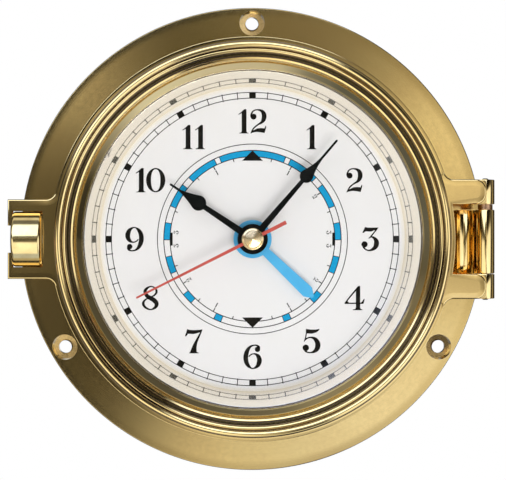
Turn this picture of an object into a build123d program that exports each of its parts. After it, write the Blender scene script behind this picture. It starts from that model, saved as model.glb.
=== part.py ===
"""Tide clock in a cast brass porthole case with a hinged, latched glass door.

The clock hangs on a wall and faces -Y. Its back lies in the plane Y = 0, and +Z is up.
Heights are measured from the wall towards the viewer, so a height h lies at Y = -h.
Angles of hands are clockwise from twelve; angles in polar places are seen from the front,
anticlockwise from +X. All lengths are in millimetres.
"""
from build123d import *
from math import cos, hypot, radians, sin, sqrt
import os

os.makedirs("parts", exist_ok=True)

# Running fits and small gaps that several pieces share
shaft_fit = 0.05
seat_gap = 0.05
door_gap = 0.3
overrun = 1.0

# AA cell, its contacts and the bay that holds it
cell_radius = 7.1
cell_length = 49.3
cell_nub_radius = 2.75
cell_nub_length = 1.2
cell_back_gap = 0.8
cell_front_gap = 0.2
contact_thick = 0.4
contact_half_width = 4.0
contact_bow = 1.2
bay_wall = 0.8
bay_end_gap = 0.75
bay_side_gap = 0.3
bay_half_length = (cell_length + cell_nub_length) / 2 + contact_bow + bay_end_gap
bay_half_width = cell_radius + bay_side_gap

# Movement shells, as deep as the cell needs
shell_wall = 1.2
shell_end_wall = 1.3
shell_low_wall = 1.1
movement_corner_radius = 4.0
shell_post_radius = 2.2
shell_post_inset = 3.6
movement_back = 2.0
movement_half_width = bay_half_length + shell_end_wall
cell_height = movement_back + cell_back_gap + cell_radius
train_floor = movement_back + shell_wall
train_ceiling = cell_height + cell_radius + cell_front_gap
movement_front = train_ceiling + shell_wall
washer_thick = 0.8
pivot_depth = 0.7

# Train layers: one pitch from the floor of one wheel to the next
rotor_layer, seconds_layer, third_layer, centre_layer, plate_layer = range(5)
motion_layer, hour_layer, tide_drive_layer, tide_layer = range(plate_layer + 1, plate_layer + 5)
wheel_thick = 0.8
layer_floor_gap = 1.15
layer_ceiling_gap = 0.45
layer_start = train_floor + layer_floor_gap
layer_pitch = (train_ceiling - layer_ceiling_gap - wheel_thick - layer_start) / tide_layer
pivot_radius = 0.3
arbor_radius = 0.5
addendum_share = 0.35
dedendum_share = 0.75
split_depth = 0.75

# Concentric hand shafts, from the inside out, and the bush round them
second_arbor_radius = 0.5
tube_wall = 0.75
bush_wall = 0.85
minute_bore = second_arbor_radius + shaft_fit
minute_tube_radius = minute_bore + tube_wall
hour_bore = minute_tube_radius + shaft_fit
hour_tube_radius = hour_bore + tube_wall
tide_bore = hour_tube_radius + shaft_fit
tide_tube_radius = tide_bore + tube_wall
bush_bore = tide_tube_radius + shaft_fit
bush_radius = bush_bore + bush_wall
bush_flange_radius = 5.5
bush_thread_height = 0.2
nut_flats_radius = 5.0
nut_thick = 1.4
flat_washer_radius = 5.6
flat_washer_thick = 0.4
rubber_washer_radius = 12.0

# Case body: drum round the movement, wall flange, dial ledge
drum_radius = 59.0
drum_wall = 2.4
drum_root_radius = 1.5
drum_bore = drum_radius - drum_wall
flange_width = 16.0
flange_thick = 5.0
flange_edge_radius = 1.8
flange_radius = drum_radius + flange_width
ledge_width = 5.4
ledge_thick = 1.8
ledge_slope = 3.0
ledge_inner_radius = drum_bore - ledge_width
wall_hole_inset = 5.0
wall_hole_radius = 2.1
wall_hole_angles = (90, 210, 330)
wall_hole_circle_radius = flange_radius - wall_hole_inset
countersink_radius = 4.1
countersink_angle = 90

# Dial plate and its screws
dial_thick = 0.8
dial_edge_gap = 0.3
dial_depth = 8.0
dial_back = movement_front + washer_thick
dial_front = dial_back + dial_thick
dial_radius = drum_bore - dial_edge_gap
dial_screw_inset = 2.8
dial_screw_circle_radius = drum_bore - dial_screw_inset
dial_screw_radius = 0.8
dial_screw_head_radius = 1.5
dial_screw_head_thick = 0.9
dial_screw_angles = (30, 150, 270)
drum_height = dial_front + dial_depth

# Door glazing, stacked from the back of the door
door_bottom = drum_height + door_gap
retainer_recess = 1.5
retainer_thick = 1.5
retainer_notch_width = 2.0
retainer_notch_depth = 0.9
glass_thick = 2.0
glass_edge_gap = 0.3
gasket_thick = 0.5
lip_thick = 0.7
retainer_back = door_bottom + retainer_recess
glass_back = retainer_back + retainer_thick
glass_front = glass_back + glass_thick
gasket_front = glass_front + gasket_thick
lip_height = gasket_front + lip_thick

# Door ring profile, from its shoulder inwards
shoulder_width = 3.8
shoulder_inset = 0.8
shoulder_edge_radius = 0.5
shoulder_radius = drum_radius + shoulder_width
lug_thick = 4.5
lug_height = door_bottom + lug_thick
cove_foot_depth = 0.2
cove_tall = 6.4
cove_lean = 1.1
cove_depth = 0.45
cove_rim_width = 0.2
cove_foot_radius = shoulder_radius - shoulder_inset
cove_foot_height = lug_height - cove_foot_depth
cove_top_radius = cove_foot_radius - cove_lean
cove_top_height = lug_height + cove_tall
outer_bead_half_width = 1.05
outer_bead_rise = 1.2
outer_bead_radius = cove_top_radius - cove_rim_width - outer_bead_half_width
outer_bead_crest_height = cove_top_height + outer_bead_rise
groove_depth = 0.2
groove_width = 0.05
groove_height = cove_top_height - groove_depth
inner_bead_half_width = 0.9
inner_bead_rise = 0.1
inner_bead_radius = outer_bead_radius - outer_bead_half_width - groove_width - inner_bead_half_width
inner_bead_crest_height = groove_height + inner_bead_rise
inner_bead_foot_height = inner_bead_crest_height - inner_bead_half_width
step_width = 1.15
step_depth = 0.4
step_edge = 0.3
step_radius = inner_bead_radius - inner_bead_half_width - step_width
step_height = inner_bead_foot_height - step_depth
bevel_width = 3.2
bevel_sag = 0.5
lip_radius = step_radius - bevel_width
glass_lap = 2.5
glass_bore = lip_radius + glass_lap
gasket_inset = 0.6
retainer_inset = 0.8
gasket_inner_radius = lip_radius + gasket_inset
retainer_inner_radius = lip_radius + retainer_inset

# Reflector ring: flared wall from the dial to the mouth of the drum
reflector_flare = 4.3
reflector_wall = 0.8
reflector_seat_width = 0.8
reflector_top_radius = lip_radius
reflector_foot_radius = reflector_top_radius - reflector_flare
reflector_flange_radius = drum_bore + reflector_seat_width

# Hinge: door ears, pin, washer and the knuckle on the case
hinge_inset = 2.4
hinge_x = flange_radius - hinge_inset
hinge_height = drum_height
knuckle_radius = 2.9
ear_inner = 10.85
ear_width = 7.7
ear_outer = ear_inner + ear_width
ear_tip_inset = 0.3
ear_tip_x = hinge_x - ear_tip_inset
ear_round_share = 0.415
ear_web_angle = 30
lug_root_radius = 3.0
hinge_pin_radius = 1.25
hinge_pin_dome = 0.4
hinge_washer_radius = 2.3
hinge_washer_thick = 1.6
knuckle_top = ear_inner - seat_gap - hinge_washer_thick
knuckle_bottom = -ear_inner + 2 * seat_gap
post_gap = 1.3
post_step = 2.4
post_sag = 0.75
post_foot_width = 1.0
post_inner_x = shoulder_radius + post_gap
post_shelf_height = drum_height - post_step
post_foot_x = hinge_x + post_foot_width

# Latch: lug on the door, thumb nut, sliding pin and its keeper on the case
latch_overhang = 0.8
latch_wall = 1.3
latch_root_wall = 2.2
latch_cheek = 3.4
latch_notch_half_width = 4.2
latch_rise = 2.3
latch_height = door_bottom + latch_rise
latch_lug_x = -(flange_radius + latch_overhang)
nut_radius = 8.55
nut_edge_radius = 0.9
nut_side_gap = 0.15
nut_rim_gap = 0.35
nut_outer_x = latch_lug_x + latch_wall + nut_side_gap
window_inner_x = -(shoulder_radius + latch_root_wall)
nut_inner_x = window_inner_x - nut_side_gap
nut_length = nut_inner_x - nut_outer_x
latch_lug_half_height = nut_radius + nut_rim_gap + latch_cheek
latch_travel = 2.5
latch_bore_spare = 1.0
latch_tip_setback = 0.8
latch_thread_radius = 2.0
latch_thread_gap = 1.1
latch_thread_length = nut_length - latch_travel - latch_thread_gap
latch_shank_radius = 1.3
latch_flat_share = 0.35
keeper_thick = drum_radius - reflector_flange_radius - 2 * seat_gap
keeper_half_width = 4.0
keeper_rise = 2.4
keeper_top = latch_height + keeper_rise
keeper_side_gap = 0.5
keeper_hole_gap = 0.3

# Hands
hand_thick = 0.4
hand_bush_gap = 0.4
hand_pitch = 1.5
second_hand_pitch = 1.4
bush_top = dial_front + flat_washer_thick + nut_thick + bush_thread_height
tide_hand_height = bush_top + hand_bush_gap
hour_hand_height = tide_hand_height + hand_pitch
minute_hand_height = hour_hand_height + hand_pitch
second_hand_height = minute_hand_height + second_hand_pitch
tide_hand_angle = 133.8
hour_hand_angle = 303.7
minute_hand_angle = 40.5
second_hand_angle = 243.2
hub_cap_radius = 3.4
hub_cap_face_radius = 2.65
hub_cap_rim_thick = 1.1
hub_cap_face_rise = 0.9
hub_cap_rim_height = second_hand_height + hand_thick + hub_cap_rim_thick
hub_cap_top = hub_cap_rim_height + hub_cap_face_rise

SECTION = Plane(origin=(0, 0, 0), x_dir=(1, 0, 0), z_dir=(0, 0, -1))
LATCH_AXIS = Axis((0, -latch_height, 0), (1, 0, 0))
LATCH_SECTION = Plane(origin=(0, -latch_height, 0), x_dir=(1, 0, 0), z_dir=(0, 0, -1))
HINGE_AXIS = Axis((hinge_x, -hinge_height, 0), (0, 0, 1))


def front(height):
    """Plane parallel to the wall at this height, facing the viewer."""
    return Plane.XZ.offset(height)


def polar(radius, angle):
    """Place at a radius and an angle, anticlockwise from +X as seen from the front."""
    return (radius * cos(radians(angle)), radius * sin(radians(angle)))


def shifted(place, distance, angle):
    """Place at a distance and direction from another place."""
    step = polar(distance, angle)
    return (place[0] + step[0], place[1] + step[1])


def profile(*outline):
    """Closed straight-sided face in the section plane, for a revolve."""
    with BuildSketch(SECTION) as face:
        with BuildLine():
            Polyline(*outline, close=True)
        make_face()
    return face.sketch


def disc(height, radius, place=(0, 0), bore=0):
    """Round face parallel to the wall, with a bore where one is given."""
    with BuildSketch(front(height)) as face:
        with Locations(place):
            Circle(radius)
            if bore:
                Circle(bore, mode=Mode.SUBTRACT)
    return face.sketch


def plate(height, low, high, corner=0):
    """Rectangular face parallel to the wall between two corners, rounded where asked."""
    with BuildSketch(front(height)) as face:
        with Locations(((low[0] + high[0]) / 2, (low[1] + high[1]) / 2)):
            if corner:
                RectangleRounded(high[0] - low[0], high[1] - low[1], corner)
            else:
                Rectangle(high[0] - low[0], high[1] - low[1])
    return face.sketch


def layer(index):
    """Height of the lower face of a wheel layer."""
    return layer_start + index * layer_pitch


def wheel(level, place, teeth, tooth_size, first_angle, bore=0):
    """Adds a wheel with pointed teeth in a layer; one tooth points along first_angle."""
    pitch_radius = tooth_size * teeth / 2
    tip = pitch_radius + addendum_share * tooth_size
    root = pitch_radius - dedendum_share * tooth_size
    points = []
    for index in range(teeth):
        tooth = first_angle + index * 360 / teeth
        points.append(shifted(place, tip, tooth))
        points.append(shifted(place, root, tooth + 180 / teeth))
    with BuildSketch(front(layer(level))) as face:
        with BuildLine():
            Polyline(*points, close=True)
        make_face()
        if bore:
            with Locations(place):
                Circle(bore, mode=Mode.SUBTRACT)
    extrude(face.sketch, amount=wheel_thick)


def meshed(first_angle, teeth, other_teeth, direction):
    """First-tooth angle of a wheel that meshes with another, seen along direction."""
    lead = (direction - first_angle) % (360 / teeth)
    return direction + 180 + lead * teeth / other_teeth + 180 / other_teeth


def finish(builder, label):
    """Label a finished piece and write it to its own file."""
    builder.part.label = label
    export_step(builder.part, f"parts/{label}.step")


# Case body: one brass casting, turned, with the hinge post and the latch keeper
ledge_front = dial_back
ledge_back = ledge_front - ledge_thick
rebate_height = drum_height - reflector_wall
keeper_inner = drum_radius - keeper_thick

with BuildPart() as case_body:
    with BuildSketch(SECTION) as case_section:
        with BuildLine():
            Polyline(
                (drum_bore, 0),
                (flange_radius, 0),
                (flange_radius, flange_thick),
                (drum_radius, flange_thick),
                (drum_radius, drum_height),
                (reflector_flange_radius + seat_gap, drum_height),
                (reflector_flange_radius + seat_gap, rebate_height),
                (drum_bore, rebate_height),
                (drum_bore, ledge_front),
                (ledge_inner_radius, ledge_front),
                (ledge_inner_radius, ledge_back),
                (drum_bore, ledge_back - ledge_slope),
                close=True,
            )
        make_face()
        corners = case_section.vertices()
        fillet(corners.sort_by_distance((flange_radius, flange_thick, 0))[0], flange_edge_radius)
        corners = case_section.vertices()
        fillet(corners.sort_by_distance((drum_radius, flange_thick, 0))[0], drum_root_radius)
    revolve(axis=Axis.Y)
    # Hinge post: rises from the flange beside the door and ends in the middle knuckle
    post_plane = SECTION.offset(-knuckle_top)
    post_tall = knuckle_top - knuckle_bottom
    with BuildSketch(post_plane):
        with BuildLine():
            Line((post_inner_x, flange_thick - flange_edge_radius), (post_inner_x, post_shelf_height))
            ThreePointArc(
                (post_inner_x, post_shelf_height),
                ((post_inner_x + hinge_x - knuckle_radius) / 2, post_shelf_height - post_sag),
                (hinge_x - knuckle_radius, hinge_height),
            )
            Polyline(
                (hinge_x - knuckle_radius, hinge_height),
                (hinge_x + knuckle_radius, hinge_height),
                (hinge_x + knuckle_radius, hinge_height / 2),
                (post_foot_x, flange_thick - flange_edge_radius),
                (post_inner_x, flange_thick - flange_edge_radius),
            )
        make_face()
        with Locations((hinge_x, hinge_height)):
            Circle(knuckle_radius)
    extrude(amount=post_tall)
    with BuildSketch(post_plane):
        with Locations((hinge_x, hinge_height)):
            Circle(hinge_pin_radius + shaft_fit)
    extrude(amount=post_tall, mode=Mode.SUBTRACT)
    # Keeper: a tongue of the drum wall that stands up into a pocket in the door
    with BuildSketch(front(drum_height - overrun)):
        Circle(drum_radius)
        Circle(keeper_inner, mode=Mode.SUBTRACT)
        with Locations((-drum_radius, 0)):
            Rectangle(drum_radius, 2 * keeper_half_width, mode=Mode.INTERSECT)
    extrude(amount=keeper_top - drum_height + overrun)
    with BuildSketch(Plane.YZ.offset(-drum_radius - overrun)):
        with Locations((-latch_height, 0)):
            Circle(latch_shank_radius + keeper_hole_gap)
    extrude(amount=keeper_thick + 2 * overrun, mode=Mode.SUBTRACT)
    # Countersunk wall holes
    with Locations(front(flange_thick)):
        with Locations(*[polar(wall_hole_circle_radius, angle) for angle in wall_hole_angles]):
            CounterSinkHole(wall_hole_radius, countersink_radius, flange_thick, countersink_angle)
    # Tapped holes for the dial screws, through the ledge
    with Locations(front(ledge_front)):
        with Locations(*[polar(dial_screw_circle_radius, angle) for angle in dial_screw_angles]):
            Hole(dial_screw_radius + seat_gap, ledge_thick + ledge_slope)
finish(case_body, "case_body")


# Door ring: turned profile with two beads, two hinge ears and the latch lug
pocket_inner = keeper_inner - keeper_side_gap
pocket_outer = drum_radius + keeper_side_gap
pocket_top = keeper_top + keeper_side_gap
pin_tip_x = -(drum_radius + latch_tip_setback)
ear_tip_radius = ear_round_share * ear_width
web_step = knuckle_radius * sin(radians(ear_web_angle))
web_drop = knuckle_radius * cos(radians(ear_web_angle))

with BuildPart() as door_ring:
    # Base of the ring with its lugs, in one flat level, blended with round roots
    with BuildSketch(front(door_bottom)) as lugs:
        Circle(shoulder_radius)
        for side in (1, -1):
            with Locations((ear_tip_x / 2, side * (ear_inner + ear_outer) / 2)):
                Rectangle(ear_tip_x, ear_outer - ear_inner)
        with Locations((latch_lug_x / 2, 0)):
            Rectangle(-latch_lug_x, 2 * latch_lug_half_height)
        tips = lugs.vertices().filter_by_position(Axis.X, ear_tip_x - shaft_fit, ear_tip_x + shaft_fit)
        fillet(tips, ear_tip_radius)
        outer = lugs.vertices().filter_by(lambda corner: abs(corner.Y) > ear_inner + overrun)
        roots = outer.filter_by(lambda corner: abs(hypot(corner.X, corner.Y) - shoulder_radius) < shaft_fit)
        fillet(roots, lug_root_radius)
        Circle(glass_bore + overrun, mode=Mode.SUBTRACT)
    extrude(amount=lug_thick)
    top_edges = door_ring.faces().sort_by(Axis.Y)[0].outer_wire().edges()
    fillet(top_edges, shoulder_edge_radius)
    with BuildSketch(SECTION):
        with BuildLine():
            Polyline(
                (step_radius, step_height),
                (step_radius, step_height - step_edge),
            )
            ThreePointArc(
                (step_radius, step_height - step_edge),
                (
                    (step_radius + lip_radius) / 2 + bevel_sag / 2,
                    (step_height - step_edge + lip_height) / 2 - bevel_sag / 2,
                ),
                (lip_radius, lip_height),
            )
            Polyline(
                (lip_radius, lip_height),
                (lip_radius, lip_height - lip_thick),
                (glass_bore, lip_height - lip_thick),
                (glass_bore, door_bottom),
                (pocket_inner, door_bottom),
                (cove_foot_radius, door_bottom + lug_thick / 2),
                (cove_foot_radius, cove_foot_height),
            )
            ThreePointArc(
                (cove_foot_radius, cove_foot_height),
                (
                    (cove_foot_radius + cove_top_radius) / 2 - cove_depth,
                    (cove_foot_height + cove_top_height) / 2,
                ),
                (cove_top_radius, cove_top_height),
            )
            Polyline(
                (cove_top_radius, cove_top_height),
                (outer_bead_radius + outer_bead_half_width, cove_top_height),
            )
            ThreePointArc(
                (outer_bead_radius + outer_bead_half_width, cove_top_height),
                (outer_bead_radius, outer_bead_crest_height),
                (outer_bead_radius - outer_bead_half_width, groove_height),
            )
            Line(
                (outer_bead_radius - outer_bead_half_width, groove_height),
                (inner_bead_radius + inner_bead_half_width, inner_bead_foot_height),
            )
            ThreePointArc(
                (inner_bead_radius + inner_bead_half_width, inner_bead_foot_height),
                (inner_bead_radius, inner_bead_crest_height),
                (inner_bead_radius - inner_bead_half_width, inner_bead_foot_height),
            )
            Polyline(
                (inner_bead_radius - inner_bead_half_width, inner_bead_foot_height),
                (inner_bead_radius - inner_bead_half_width, step_height),
                (step_radius, step_height),
            )
        make_face()
    revolve(axis=Axis.Y)
    # Ear barrels round the hinge pin, with a web up to the ear
    for side_top in (ear_outer, -ear_inner):
        with BuildSketch(SECTION.offset(-side_top)):
            with Locations((hinge_x, hinge_height)):
                Circle(knuckle_radius)
            with BuildLine():
                Polyline(
                    (shoulder_radius + lug_root_radius, door_bottom),
                    (hinge_x - web_step, hinge_height - web_drop),
                    (hinge_x, hinge_height),
                    (hinge_x, door_bottom + overrun),
                    (shoulder_radius + lug_root_radius, door_bottom + overrun),
                    close=True,
                )
            make_face()
        extrude(amount=ear_outer - ear_inner)
    with BuildSketch(SECTION.offset(-ear_outer)):
        with Locations((hinge_x, hinge_height)):
            Circle(hinge_pin_radius + seat_gap / 2)
    extrude(amount=2 * ear_outer, mode=Mode.SUBTRACT)
    # Window for the thumb nut and the notch in the lug's outer wall
    with BuildSketch(front(door_bottom)):
        with Locations(((latch_lug_x + latch_wall + window_inner_x) / 2, 0)):
            Rectangle(window_inner_x - latch_lug_x - latch_wall, 2 * (nut_radius + nut_rim_gap))
        with Locations((latch_lug_x, 0)):
            Rectangle(2 * latch_wall + overrun, 2 * latch_notch_half_width)
    extrude(amount=lug_thick, mode=Mode.SUBTRACT)
    # Pocket that clears the keeper, and the bore of the latch pin
    with BuildSketch(front(door_bottom)):
        Circle(pocket_outer)
        Circle(pocket_inner, mode=Mode.SUBTRACT)
        with Locations((-drum_radius, 0)):
            Rectangle(drum_radius, 2 * (keeper_half_width + keeper_side_gap), mode=Mode.INTERSECT)
    extrude(amount=pocket_top - door_bottom, mode=Mode.SUBTRACT)
    with BuildSketch(Plane.YZ.offset(window_inner_x)):
        with Locations((-latch_height, 0)):
            Circle(latch_shank_radius + shaft_fit)
        with Locations((-latch_height - latch_shank_radius - shaft_fit, 0)):
            Rectangle(2 * latch_flat_share * latch_shank_radius, 2 * latch_shank_radius, mode=Mode.SUBTRACT)
    extrude(amount=pin_tip_x + latch_travel - window_inner_x + latch_bore_spare, mode=Mode.SUBTRACT)
finish(door_ring, "door_ring")

# Hinge pin: turned, domed ends, pressed into the ears and running in the knuckle
with BuildPart() as hinge_pin:
    pin_half = ear_outer + hinge_pin_dome
    with BuildSketch(Plane(origin=(hinge_x, -hinge_height, 0), x_dir=(1, 0, 0), z_dir=(0, -1, 0))):
        with BuildLine():
            Polyline(
                (0, -pin_half),
                (hinge_pin_radius / 2, -pin_half),
                (hinge_pin_radius, -ear_outer),
                (hinge_pin_radius, ear_outer),
                (hinge_pin_radius / 2, pin_half),
                (0, pin_half),
                close=True,
            )
        make_face()
    revolve(axis=HINGE_AXIS)
finish(hinge_pin, "hinge_pin")

# Hinge washer: bronze, takes up the space between the upper ear and the knuckle
with BuildPart() as hinge_washer:
    washer_top = ear_inner - seat_gap
    with BuildSketch(SECTION.offset(-washer_top)):
        with Locations((hinge_x, hinge_height)):
            Circle(hinge_washer_radius)
            Circle(hinge_pin_radius + shaft_fit, mode=Mode.SUBTRACT)
    extrude(amount=washer_top - knuckle_top)
finish(hinge_washer, "hinge_washer")

# Glazing: rubber gasket, flat glass and a threaded ring behind it
with BuildPart() as glass_gasket:
    extrude(disc(glass_front, glass_bore - glass_edge_gap, bore=gasket_inner_radius), amount=gasket_thick)
finish(glass_gasket, "glass_gasket")

with BuildPart() as glass:
    extrude(disc(glass_back, glass_bore - glass_edge_gap), amount=glass_thick)
finish(glass, "glass")

with BuildPart() as glass_retaining_ring:
    extrude(disc(retainer_back, glass_bore - seat_gap, bore=retainer_inner_radius), amount=retainer_thick)
    for notch_angle in (0, 180):
        with BuildSketch(front(retainer_back)):
            with Locations(polar(retainer_inner_radius, notch_angle)):
                Rectangle(2 * retainer_notch_depth, retainer_notch_width)
        extrude(amount=retainer_thick / 2, mode=Mode.SUBTRACT)
finish(glass_retaining_ring, "glass_retaining_ring")

# Thumb nut: short polished barrel that turns in the lug's window and drives the pin
nut_bore = latch_thread_radius + shaft_fit
with BuildPart() as latch_nut:
    with BuildSketch(LATCH_SECTION) as nut_section:
        with Locations(((nut_outer_x + nut_inner_x) / 2, (nut_radius + nut_bore) / 2)):
            Rectangle(nut_length, nut_radius - nut_bore)
        fillet(nut_section.vertices().group_by(Axis.Y)[-1], nut_edge_radius)
    revolve(axis=LATCH_AXIS)
finish(latch_nut, "latch_nut")

# Latch pin: threaded tail in the nut, shank with a flat that keeps it from turning
with BuildPart() as latch_pin:
    thread_inner_x = nut_inner_x - latch_travel - seat_gap
    with BuildSketch(Plane.YZ.offset(thread_inner_x - latch_thread_length)):
        with Locations((-latch_height, 0)):
            Circle(latch_thread_radius)
    extrude(amount=latch_thread_length)
    with BuildSketch(Plane.YZ.offset(thread_inner_x)):
        with Locations((-latch_height, 0)):
            Circle(latch_shank_radius)
        with Locations((-latch_height - latch_shank_radius, 0)):
            flat_depth = latch_flat_share * latch_shank_radius + shaft_fit
            Rectangle(2 * flat_depth, 2 * latch_shank_radius, mode=Mode.SUBTRACT)
    extrude(amount=pin_tip_x - thread_inner_x)
finish(latch_pin, "latch_pin")

# Reflector ring: spun brass, flared from the dial to a flat flange in the drum's rebate
with BuildPart() as reflector_ring:
    flare = (reflector_top_radius - reflector_foot_radius) / (drum_height - dial_front)
    slant_wall = reflector_wall * sqrt(1 + flare**2)
    flange_under = reflector_foot_radius + slant_wall + flare * (rebate_height - dial_front)
    revolve(
        profile(
            (reflector_foot_radius, dial_front),
            (reflector_top_radius, drum_height),
            (reflector_flange_radius, drum_height),
            (reflector_flange_radius, rebate_height),
            (flange_under, rebate_height),
            (reflector_foot_radius + slant_wall, dial_front),
        ),
        axis=Axis.Y,
    )
finish(reflector_ring, "reflector_ring")

# Dial plate and the three screws that hold it to the ledge, under the reflector's flare
with BuildPart() as dial_plate:
    extrude(disc(dial_back, dial_radius, bore=bush_radius + seat_gap), amount=dial_thick)
    for screw_angle in dial_screw_angles:
        place = polar(dial_screw_circle_radius, screw_angle)
        hole = disc(dial_back, dial_screw_radius + 2 * seat_gap, place)
        extrude(hole, amount=dial_thick, mode=Mode.SUBTRACT)
finish(dial_plate, "dial_plate")

with BuildPart() as dial_screws:
    for screw_angle in dial_screw_angles:
        place = polar(dial_screw_circle_radius, screw_angle)
        extrude(disc(ledge_back, dial_screw_radius, place), amount=dial_front - ledge_back)
        extrude(disc(dial_front, dial_screw_head_radius, place), amount=dial_screw_head_thick)
finish(dial_screws, "dial_screws")

# Where the train's arbors stand, and what meshes with what
seconds_tooth_size = 0.36
rotor_tooth_size = 0.3
third_distance = 8.4
motion_tooth_size = 0.4
tide_distance = 8.4
rotor_teeth, intermediate_teeth, intermediate_pinion_teeth, second_teeth = 6, 36, 8, 40
second_pinion_teeth, third_teeth, third_pinion_teeth, centre_teeth = 8, 60, 8, 64
cannon_teeth, motion_teeth, motion_pinion_teeth, hour_teeth = 10, 30, 8, 32
hour_pinion_teeth, idler_teeth, idler_pinion_teeth, tide_teeth = 24, 23, 25, 27
setting_teeth = 10
third_tooth_size = 2 * third_distance / (second_pinion_teeth + third_teeth)
centre_tooth_size = 2 * third_distance / (third_pinion_teeth + centre_teeth)
tide_drive_tooth_size = 2 * tide_distance / (hour_pinion_teeth + idler_teeth)
tide_tooth_size = 2 * tide_distance / (idler_pinion_teeth + tide_teeth)

centre = (0, 0)
third_direction, intermediate_direction, motion_direction, setting_direction = 30, 110, 150, 180
idler_direction, rotor_direction = -40, 110
third_place = polar(third_distance, third_direction)
intermediate_distance = seconds_tooth_size * (intermediate_pinion_teeth + second_teeth) / 2
intermediate_place = polar(intermediate_distance, intermediate_direction)
rotor_distance = rotor_tooth_size * (rotor_teeth + intermediate_teeth) / 2
rotor_place = shifted(intermediate_place, rotor_distance, rotor_direction)
motion_distance = motion_tooth_size * (cannon_teeth + motion_teeth) / 2
motion_place = polar(motion_distance, motion_direction)
setting_distance = motion_tooth_size * (motion_teeth + setting_teeth) / 2
setting_place = shifted(motion_place, setting_distance, setting_direction)
idler_place = polar(tide_distance, idler_direction)
floor_pivot = train_floor - pivot_depth
ceiling_pivot = train_ceiling + pivot_depth
plate_back = layer(plate_layer)
plate_front = plate_back + wheel_thick


def arbor(place, bottom, top):
    """Arbor with a thin pivot at each end, between two bearing faces."""
    extrude(disc(bottom - pivot_depth, pivot_radius, place), amount=top - bottom + 2 * pivot_depth)
    extrude(disc(bottom + shaft_fit, arbor_radius, place), amount=top - bottom - 2 * shaft_fit)


# Rotor: ring magnet and pinion of the stepping motor
with BuildPart() as rotor:
    rotor_magnet_radius = 2.9
    rotor_magnet_length = 3.0
    arbor(rotor_place, train_floor, plate_back)
    wheel(rotor_layer, rotor_place, rotor_teeth, rotor_tooth_size, rotor_direction + 180)
    extrude(disc(layer(seconds_layer), rotor_magnet_radius, rotor_place), amount=rotor_magnet_length)
finish(rotor, "rotor")

# Intermediate wheel: driven by the rotor, drives the second wheel
with BuildPart() as intermediate_wheel:
    arbor(intermediate_place, train_floor, plate_back)
    first = meshed(rotor_direction + 180, rotor_teeth, intermediate_teeth, rotor_direction + 180)
    wheel(rotor_layer, intermediate_place, intermediate_teeth, rotor_tooth_size, first)
    first = intermediate_direction + 180
    wheel(seconds_layer, intermediate_place, intermediate_pinion_teeth, seconds_tooth_size, first)
finish(intermediate_wheel, "intermediate_wheel")

# Second wheel: on the centre line, its arbor runs through all the tubes to the red hand
with BuildPart() as second_wheel:
    first = meshed(
        intermediate_direction + 180, intermediate_pinion_teeth, second_teeth, intermediate_direction + 180
    )
    wheel(seconds_layer, centre, second_teeth, seconds_tooth_size, first)
    wheel(third_layer, centre, second_pinion_teeth, third_tooth_size, third_direction)
    extrude(disc(floor_pivot, pivot_radius), amount=pivot_depth + shaft_fit)
    arbor_bottom = train_floor + shaft_fit
    extrude(disc(arbor_bottom, second_arbor_radius), amount=hub_cap_rim_height - arbor_bottom)
finish(second_wheel, "second_wheel")

# Third wheel: between the second wheel and the centre wheel
with BuildPart() as third_wheel:
    arbor(third_place, train_floor, plate_back)
    first = meshed(third_direction, second_pinion_teeth, third_teeth, third_direction)
    wheel(third_layer, third_place, third_teeth, third_tooth_size, first)
    wheel(centre_layer, third_place, third_pinion_teeth, centre_tooth_size, third_direction + 180)
finish(third_wheel, "third_wheel")

# Centre wheel: turns once an hour and slips on the minute tube when the hands are set
with BuildPart() as centre_wheel:
    first = meshed(third_direction + 180, third_pinion_teeth, centre_teeth, third_direction + 180)
    wheel(centre_layer, centre, centre_teeth, centre_tooth_size, first, bore=minute_tube_radius + shaft_fit)
finish(centre_wheel, "centre_wheel")

# Minute tube: collar under the middle plate, pinion above it, hand seat at its top
with BuildPart() as minute_tube:
    collar_radius = 2.2
    tube_bottom = layer(centre_layer) - shaft_fit
    collar_back = layer(centre_layer) + wheel_thick + shaft_fit
    collar_thick = plate_back - collar_back - 2 * shaft_fit
    tube_length = minute_hand_height + hand_thick - tube_bottom
    extrude(disc(tube_bottom, minute_tube_radius), amount=tube_length)
    extrude(disc(collar_back, collar_radius), amount=collar_thick)
    wheel(motion_layer, centre, cannon_teeth, motion_tooth_size, motion_direction)
    extrude(disc(tube_bottom, minute_bore), amount=tube_length, mode=Mode.SUBTRACT)
finish(minute_tube, "minute_tube")

# Motion wheel: reduces the minute tube's turn for the hour wheel
motion_first = meshed(motion_direction, cannon_teeth, motion_teeth, motion_direction)
with BuildPart() as motion_wheel:
    arbor(motion_place, plate_front, train_ceiling)
    wheel(motion_layer, motion_place, motion_teeth, motion_tooth_size, motion_first)
    wheel(hour_layer, motion_place, motion_pinion_teeth, motion_tooth_size, motion_direction + 180)
finish(motion_wheel, "motion_wheel")

# Hour wheel: tube with the hour wheel and the pinion that starts the tide train
with BuildPart() as hour_wheel:
    first = meshed(motion_direction + 180, motion_pinion_teeth, hour_teeth, motion_direction + 180)
    hour_top = hour_hand_height + hand_thick
    wheel(hour_layer, centre, hour_teeth, motion_tooth_size, first)
    wheel(tide_drive_layer, centre, hour_pinion_teeth, tide_drive_tooth_size, idler_direction)
    extrude(disc(layer(hour_layer), hour_tube_radius), amount=hour_top - layer(hour_layer))
    extrude(disc(layer(hour_layer), hour_bore), amount=hour_top - layer(hour_layer), mode=Mode.SUBTRACT)
finish(hour_wheel, "hour_wheel")

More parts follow.
